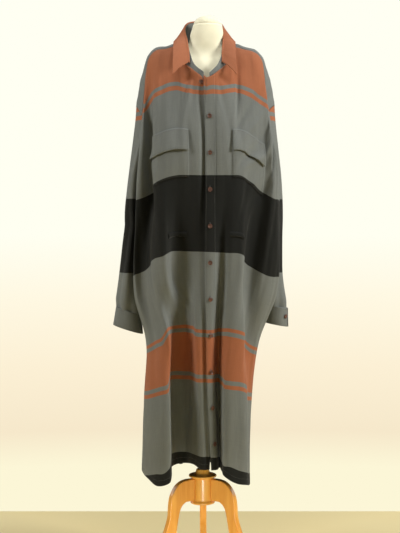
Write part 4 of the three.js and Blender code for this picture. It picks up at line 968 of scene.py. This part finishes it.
class Sleeve:
    """A tube from the armhole seam to level ovals, with creases lengthwise."""

    def __init__(self, side):
        self.side = side
        self.loop = armhole(side)
        middle = sum(self.loop, Vector()) / LOOP
        raw = [math.atan2(p.y - middle.y, (p.z - middle.z) * 0.8) for p in self.loop]
        self.angles = [a if side > 0 else math.pi - a for a in raw]
        rows = SLEEVES[side]
        self.section = points_through([-row[0] for row in rows], [row[1:] for row in rows])
        self.top_z, self.end_z = rows[0][0], rows[-1][0]

    def ring(self, z, j, drift):
        x, y, half_x, half_y = self.section(-z)
        angle = self.angles[j]
        wave = SLEEVE_CREASE_DEPTH * math.cos(SLEEVE_CREASES * angle + SLEEVE_DRIFT * drift)
        return Vector((x + (half_x + wave) * math.cos(angle), y + (half_y + wave) * math.sin(angle), z))

    @lru_cache(None)
    def upper(self, j):
        """One column from the seam to the first oval. It sets off further outwards under the arm."""
        p, first = self.loop[j], self.ring(self.top_z, j, 0)
        third = (p.z - first.z) / 3
        low = ease((1400 - p.z) / 120)
        lead = Vector((self.side * blend(8, 42, low), 0, -third)).normalized()
        above = first + Vector((self.side * 4, 0, third))
        start = p + lead * 1.2
        return even_curve(start, start + lead * max(third, 18), above, first)

    def point(self, s, t):
        j = round(s * LOOP) % LOOP
        if t < 0.5:
            return self.upper(j)(2 * t)
        k = 2 * t - 1
        z = blend(self.top_z, self.end_z, k)
        tuck = ease((k - 0.9) / 0.1)
        p = self.ring(z, j, 4 * k)
        x, y, *_ = self.section(-z)
        p -= (p - Vector((x, y, z))).normalized() * TUCK_IN * tuck
        p.z += ease((k - 0.5) * 2) * (cuff_tilt(self.side, self.angles[j]) + 0.6) - TUCK_DOWN * tuck
        return p


for side, name in SIDES.items():
    sleeve = Sleeve(side)

    def sleeve_weave(s, t):
        return s * SLEEVE_ROUND, NECK_POINT - SLEEVE_CUT - sleeve.point(s, t).z

    def sleeve_lift(s, t):
        turn = 2 * math.pi * s
        waves = ripple(math.cos(turn) * 60 + 200 * side, 500 * t + 50 * math.sin(turn), 60)
        return ease(t / 0.06) * ease((1 - t) / 0.06) * waves

    made = sew(f"sleeve_{name}_tube", LOOP, 120, sleeve.point, sleeve_weave, sleeve_lift, closed=True)
    cloth_piece(made, (0.36, 0.48), 0.129, "hung", [f"front_{name}", "back", "yoke"], f"sleeve_{name}")

# ---------------------------------------------------------------- cuffs
# Doubled bands at the ends of the sleeves, each with a short opening closed by one button.
CUFFS = {  # top oval, bottom oval, where the slit is, in radians
    -1: ((-233, 13, 38, 41), (-235, 8, 45, 40), math.pi / 2),
    1: ((214, 33, 35, 39), (214, 30, 36, 38), -0.35),
}
CUFF_DEPTH, CUFF_SLIT, CUFF_ROUND, CUFF_CUT = 56, 9, 250, 700   # the last: where it is cut from the stripes
for side, name in SIDES.items():
    top, bottom, slit = CUFFS[side]

    def cuff_point(s, t):
        x, y, half_x, half_y = (blend(a, b, t) for a, b in zip(top, bottom))
        gap = CUFF_SLIT / 2 / half_y
        angle = slit + gap + (2 * math.pi - 2 * gap) * s
        return (x + half_x * math.cos(angle), y + half_y * math.sin(angle),
                SLEEVES[side][-1][0] - CUFF_DEPTH * t + cuff_tilt(side, angle))

    made = sew(f"cuff_{name}_band", 110, 24, cuff_point,
               lambda s, t: (s * CUFF_ROUND, CUFF_CUT + CUFF_DEPTH * t),
               lambda s, t: ripple(s * CUFF_ROUND, CUFF_DEPTH * t, 80 + side, 0.5), wall=2.2)
    cloth_piece(made, (0.255, 0.056), None, "hung", [f"sleeve_{name}"], f"cuff_{name}")

# ---------------------------------------------------------------- collar
# A grey stand sewn to the neckline and a rust leaf folded over it, open at the throat.
COLLAR = [  # cloth across the neckline; fold line; free edge; how far the fold leans to the right
    (0, (0, 70, 1680), (0, 106, 1618), -6),  # middle back
    (45, (42, 54, 1675), (57, 84, 1616), -6),  # back side
    (75, (57, 12, 1650), (80, 28, 1614), -6),  # neck side
    (95, (53, -28, 1608), (85, -38, 1599), -3),  # before the shoulder
    (75, (49, -60, 1570), (87, -88, 1550), -2),  # front side
    (42, (48, -86, 1533), (88, -124, 1494), -1),  # leaf end
]
EDGE_LEAN = -5          # the same for the free edge
STAND_ENDS = (((-5, -110, 1484), (-7, -109, 1504)), ((9, -111, 1484), (9, -110, 1502)))
STAND_FRONT = {4: (45, -62, 1564), 5: (33, -92, 1529)}   # its top edge, where it leaves the fold of the leaf
STAND_IN, STAND_DOWN, STAND_DOWN_FRONT = 2, 3, 6   # how far its lower edge lies behind and under the neckline
LEAF_END, NECK_SIDE_ROW = len(COLLAR) - 1, 3
LEAF_ROUND, STAND_ROUND = 480, 500   # cloth along the leaf and the stand
LEAF_CUT, LEAF_DEEP = 30, 90         # where the leaf is cut from the rust stripe, and its depth with the fold
collar_keys = list(range(-LEAF_END, LEAF_END + 1))


def collar_line(column):
    """The fold line or the free edge from the right leaf end round to the left one."""
    rows = []
    for key in collar_keys:
        row = COLLAR[abs(key)]
        x, y, z = row[column]
        side = (key > 0) - (key < 0)
        rows.append((x * side + (row[3] if column == 1 else EDGE_LEAN), y, z))
    return rows


leaf_fold = points_through(collar_keys, collar_line(1))
leaf_edge = points_through(collar_keys, collar_line(2))
LEAF_ROLL = 0.09        # share of the leaf's rows that turn over the fold


def leaf_point(s, t):
    key = blend(-LEAF_END, LEAF_END, s)
    fold, edge = leaf_fold(key), leaf_edge(key)
    away = Vector((edge.x - fold.x, edge.y - fold.y, 0)).normalized()
    if t < LEAF_ROLL:
        turn = math.pi * (1 - t / LEAF_ROLL)
        return fold + away * (2.1 + 2.1 * math.cos(turn)) + Vector((0, 0, 1.4 + 2.6 * math.sin(turn)))
    down = (t - LEAF_ROLL) / (1 - LEAF_ROLL)
    roll = 4.2 + 2 * down + 1.6 * math.sin(math.pi * math.sqrt(down))
    p = fold.lerp(edge, down) + away * roll
    p.z += 1.4 * (1 - down) + 3 * math.sin(math.pi * down)
    return p


made = sew("collar_leaf_fold", 150, 44, leaf_point, lambda s, t: (s * LEAF_ROUND, LEAF_CUT + LEAF_DEEP * t),
           lambda s, t: ripple(s * LEAF_ROUND, LEAF_DEEP * t, 95, 0.5) * ease(t / 0.2), wall=1.9)
cloth_piece(made, (0.5, 0.075), None, "folded", ["collar_stand"], "collar_leaf")


def neckline(key):
    """Where the stand is sewn: to the yoke as far as the sides of the neck, and then to the fronts."""
    across = COLLAR[abs(key)][0] * ((key > 0) - (key < 0))
    on_yoke = abs(key) <= NECK_SIDE_ROW
    p = yoke_start(across) if on_yoke else front_top(across)
    return p.x, p.y + STAND_IN, p.z - (STAND_DOWN if on_yoke else STAND_DOWN_FRONT)


def stand_crest(key):
    """The top edge towards an end; the right one lies 1 mm further out."""
    x, y, z = STAND_FRONT[abs(key)]
    return x if key > 0 else -x - 1, y, z


stand_keys = [-LEAF_END - 1, *collar_keys, LEAF_END + 1]
stand_base = points_through(stand_keys, [STAND_ENDS[0][0], *map(neckline, collar_keys), STAND_ENDS[1][0]])
stand_line = [stand_crest(key) if abs(key) > NECK_SIDE_ROW else p
              for key, p in zip(collar_keys, collar_line(1))]
stand_top = points_through(stand_keys, [STAND_ENDS[0][1], *stand_line, STAND_ENDS[1][1]])


def stand_point(s, t):
    key = blend(-LEAF_END - 1, LEAF_END + 1, s)
    p = stand_top(key).lerp(stand_base(key), t)
    p.z += 1.2 * (1 - t)
    return p


made = sew("collar_stand_band", 150, 16, stand_point,
           lambda s, t: (s * STAND_ROUND, PLAIN + 40 * t), wall=1.8)
cloth_piece(made, (0.5, 0.045), None, "hung", ["yoke"], "collar_stand")

# ---------------------------------------------------------------- topstitching
# Rows of lockstitch in grey polyester thread along the placket, hems, pockets, yoke, collar and cuffs,
# and the worked edges of the buttonholes. Each stitch is a short rounded bar half sunk in the cloth.
# Those of the yoke and the collar are on the inner side.
thread = Finish("sewing_thread", {"Sheen Weight": 0.2})
twist = thread.noise(thread.place(), 900, 2)
thread.feed("Base Color", thread.mix(twist, linear(66, 64, 58), linear(96, 92, 84)))
thread.feed("Roughness", twist * 0.2 + 0.55)
STITCH, STITCH_SHARE = 3.3, 0.72     # from one stitch to the next, and how much of it shows


def faced_side(name):
    """A function that gives a place on a cut piece and which way it faces there: inwards on the yoke and
    the collar, and outwards on the rest."""
    made, columns, rows = cut_pieces[name]
    spots = {}
    for index, mark in enumerate(made.data.attributes["spot"].data):
        spots[round(mark.vector[0] * columns), round(mark.vector[1] * rows)] = index
    verts = made.data.vertices

    def place(s, t):
        i, j = min(int(s * columns), columns - 1), min(int(t * rows), rows - 1)
        x, y = s * columns - i, t * rows - j
        corners = [verts[spots[i + dx, j + dy]] for dx, dy in ((0, 0), (1, 0), (0, 1), (1, 1))]
        shares = ((1 - x) * (1 - y), x * (1 - y), (1 - x) * y, x * y)
        return (sum((v.co * share for v, share in zip(corners, shares)), Vector()),
                sum((v.normal * share for v, share in zip(corners, shares)), Vector()).normalized())
    return place


def add_stitch(bm, start, end, outward, width=0.32):
    """One stitch between two places, with half its width in millimetres."""
    along = end - start
    aside = along.cross(outward).normalized() * width * MM
    shape = Matrix((along / 2, aside, outward * width * 0.8 * MM)).transposed().to_4x4()
    shape.translation = (start + end) / 2 + outward * 0.1 * MM
    bmesh.ops.create_icosphere(bm, subdivisions=1, radius=1, matrix=shape)


def add_seam(bm, place, start, end):
    """A row of stitches on a piece from one place (s, t) to another."""
    line = [place(blend(start[0], end[0], i / 300), blend(start[1], end[1], i / 300)) for i in range(301)]
    run = [0]
    for (p, _), (q, _) in zip(line, line[1:]):
        run.append(run[-1] + (q - p).length / MM)
    i = 0

    def point(distance):
        nonlocal i
        while i < 299 and run[i + 1] < distance:
            i += 1
        return line[i][0].lerp(line[i + 1][0], (distance - run[i]) / (run[i + 1] - run[i]))
    for k in range(int(run[-1] / STITCH)):
        add_stitch(bm, point(k * STITCH), point((k + STITCH_SHARE) * STITCH), line[i][1])


HEM_ROW = 0.986
SEAMS = {  # for each group, the pieces and the lines along them
    "placket_topstitch": {"placket_strip": [[(0.1, 0), (0.1, 1)], [(0.9, 0), (0.9, 1)]]},
    "hem_topstitch": {"front_right_panel": [[(0, HEM_ROW), (0.95, HEM_ROW)]],
                      "front_left_panel": [[(0.09, HEM_ROW), (1, HEM_ROW)]],
                      "back_panel": [[(0, HEM_ROW), (1, HEM_ROW)]]},
    "pocket_topstitch": {
        **{f"pocket_{side}_patch": [[(0.03, 0.5), (0.03, 0.975), (0.97, 0.975), (0.97, 0.5)]]
           for side in SIDES.values()},
        **{f"flap_{side}_cover": [[(0.04, 0.08), (0.04, 0.92), (0.96, 0.92), (0.96, 0.08), (0.04, 0.08)]]
           for side in SIDES.values()},
        **{f"welt_{side}_lip": [[(0.05, 0.85), (0.95, 0.85)]] for side in SIDES.values()}},
    "yoke_topstitch": {"yoke_piece": [[(0, 0.03), (0.36, 0.03)], [(0.64, 0.03), (1, 0.03)],
                                      [(0, 0.97), (1, 0.97)]]},
    "collar_topstitch": {"collar_leaf_fold": [[(0.012, 0.12), (0.012, 0.94), (0.988, 0.94), (0.988, 0.12)]],
                         "collar_stand_band": [[(0.01, 0.88), (0.99, 0.88)]]},
    "cuff_topstitch": {f"cuff_{side}_band": [[(0.01, 0.1), (0.99, 0.1)], [(0.01, 0.9), (0.99, 0.9)]]
                       for side in SIDES.values()},
}
for name, cuts in SEAMS.items():
    bm = bmesh.new()
    for cut, lines in cuts.items():
        place = faced_side(cut)
        for line in lines:
            for start, end in zip(line, line[1:]):
                add_seam(bm, place, start, end)
    carried(piece(name, bm, thread.material), "striped_cloth")

BUTTONS = sorted(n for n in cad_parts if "button" in n)
FASTENED = [n for n in BUTTONS if n.startswith("button_") and n != "button_01"]   # all but the throat's
HOLE_COLUMN, HOLE_RISE = 0.444, 2      # where a hole is on the placket, and how far above its button's middle
HOLE_STITCHES, HOLE_PITCH = 18, 1.0    # along each edge of a hole
HOLE_HALF_GAP, HOLE_STITCH = 0.45, 1.5
place = faced_side("placket_strip")
bm = bmesh.new()
for name in FASTENED:
    low_corner, high_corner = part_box(name)
    height, t_low, t_high = (low_corner[2] + high_corner[2]) / 2 + HOLE_RISE * MM, 0, 1
    for _ in range(24):     # halves the stretch of placket until it is at that height
        t = (t_low + t_high) / 2
        t_low, t_high = (t, t_high) if place(HOLE_COLUMN, t)[0].z > height else (t_low, t)
    middle, outward = place(HOLE_COLUMN, t_low)
    up = (place(HOLE_COLUMN, t_low - 0.004)[0] - middle).normalized()
    aside = up.cross(outward).normalized()
    for k in range(HOLE_STITCHES):
        for side in (-1, 1):
            level = (k * HOLE_PITCH - (HOLE_STITCHES - 1) / 2) * MM
            foot = middle + up * level + aside * side * HOLE_HALF_GAP * MM
            add_stitch(bm, foot, foot + aside * side * HOLE_STITCH * MM, outward, 0.42)
carried(piece("worked_buttonholes", bm, thread.material), "striped_cloth")

# ---------------------------------------------------------------- buttons
# Turned horn buttons with a raised rim, sewn on by hand with doubled thread.
horn = Finish("turned_horn", {"IOR": 1.54, "Coat Roughness": 0.1})
cloudy = horn.noise(horn.place(), 160, 4)
horn.feed("Base Color", horn.mix((cloudy - 0.3) * 2.2, linear(58, 30, 22), linear(128, 82, 58)))
horn.feed("Roughness", cloudy * 0.3 + 0.22)
horn.bump(cloudy, 0.2, 0.0002)
THREAD_SUNK = 0.55      # how far the threads lie below the rim
HOLE_REACH, PAIR_REACH, STRAND_SHARE = 1.7, 0.8, 0.25   # half the way between holes, pairs and strands
bm = bmesh.new()
for name in BUTTONS:
    turned = bpy.data.objects[name].data
    turned.materials.clear()
    turned.materials.append(horn.material)
    under = max(turned.polygons, key=lambda face: face.area)
    axis = -under.normal
    corners = [Vector(v.co) for v in turned.vertices]
    middle = sum(corners, Vector()) / len(corners)
    top = max(v.dot(axis) for v in corners)
    middle += axis * (top - THREAD_SUNK * MM - middle.dot(axis))
    across = axis.orthogonal().normalized() * HOLE_REACH * MM
    beside = axis.cross(across).normalized() * PAIR_REACH * MM
    for side in (-1, 1):
        for strand in (-STRAND_SHARE, STRAND_SHARE):
            pair = middle + beside * (side + strand)
            add_stitch(bm, pair - across, pair + across, axis, 0.26)
carried(piece("button_thread", bm, thread.material), "striped_cloth")
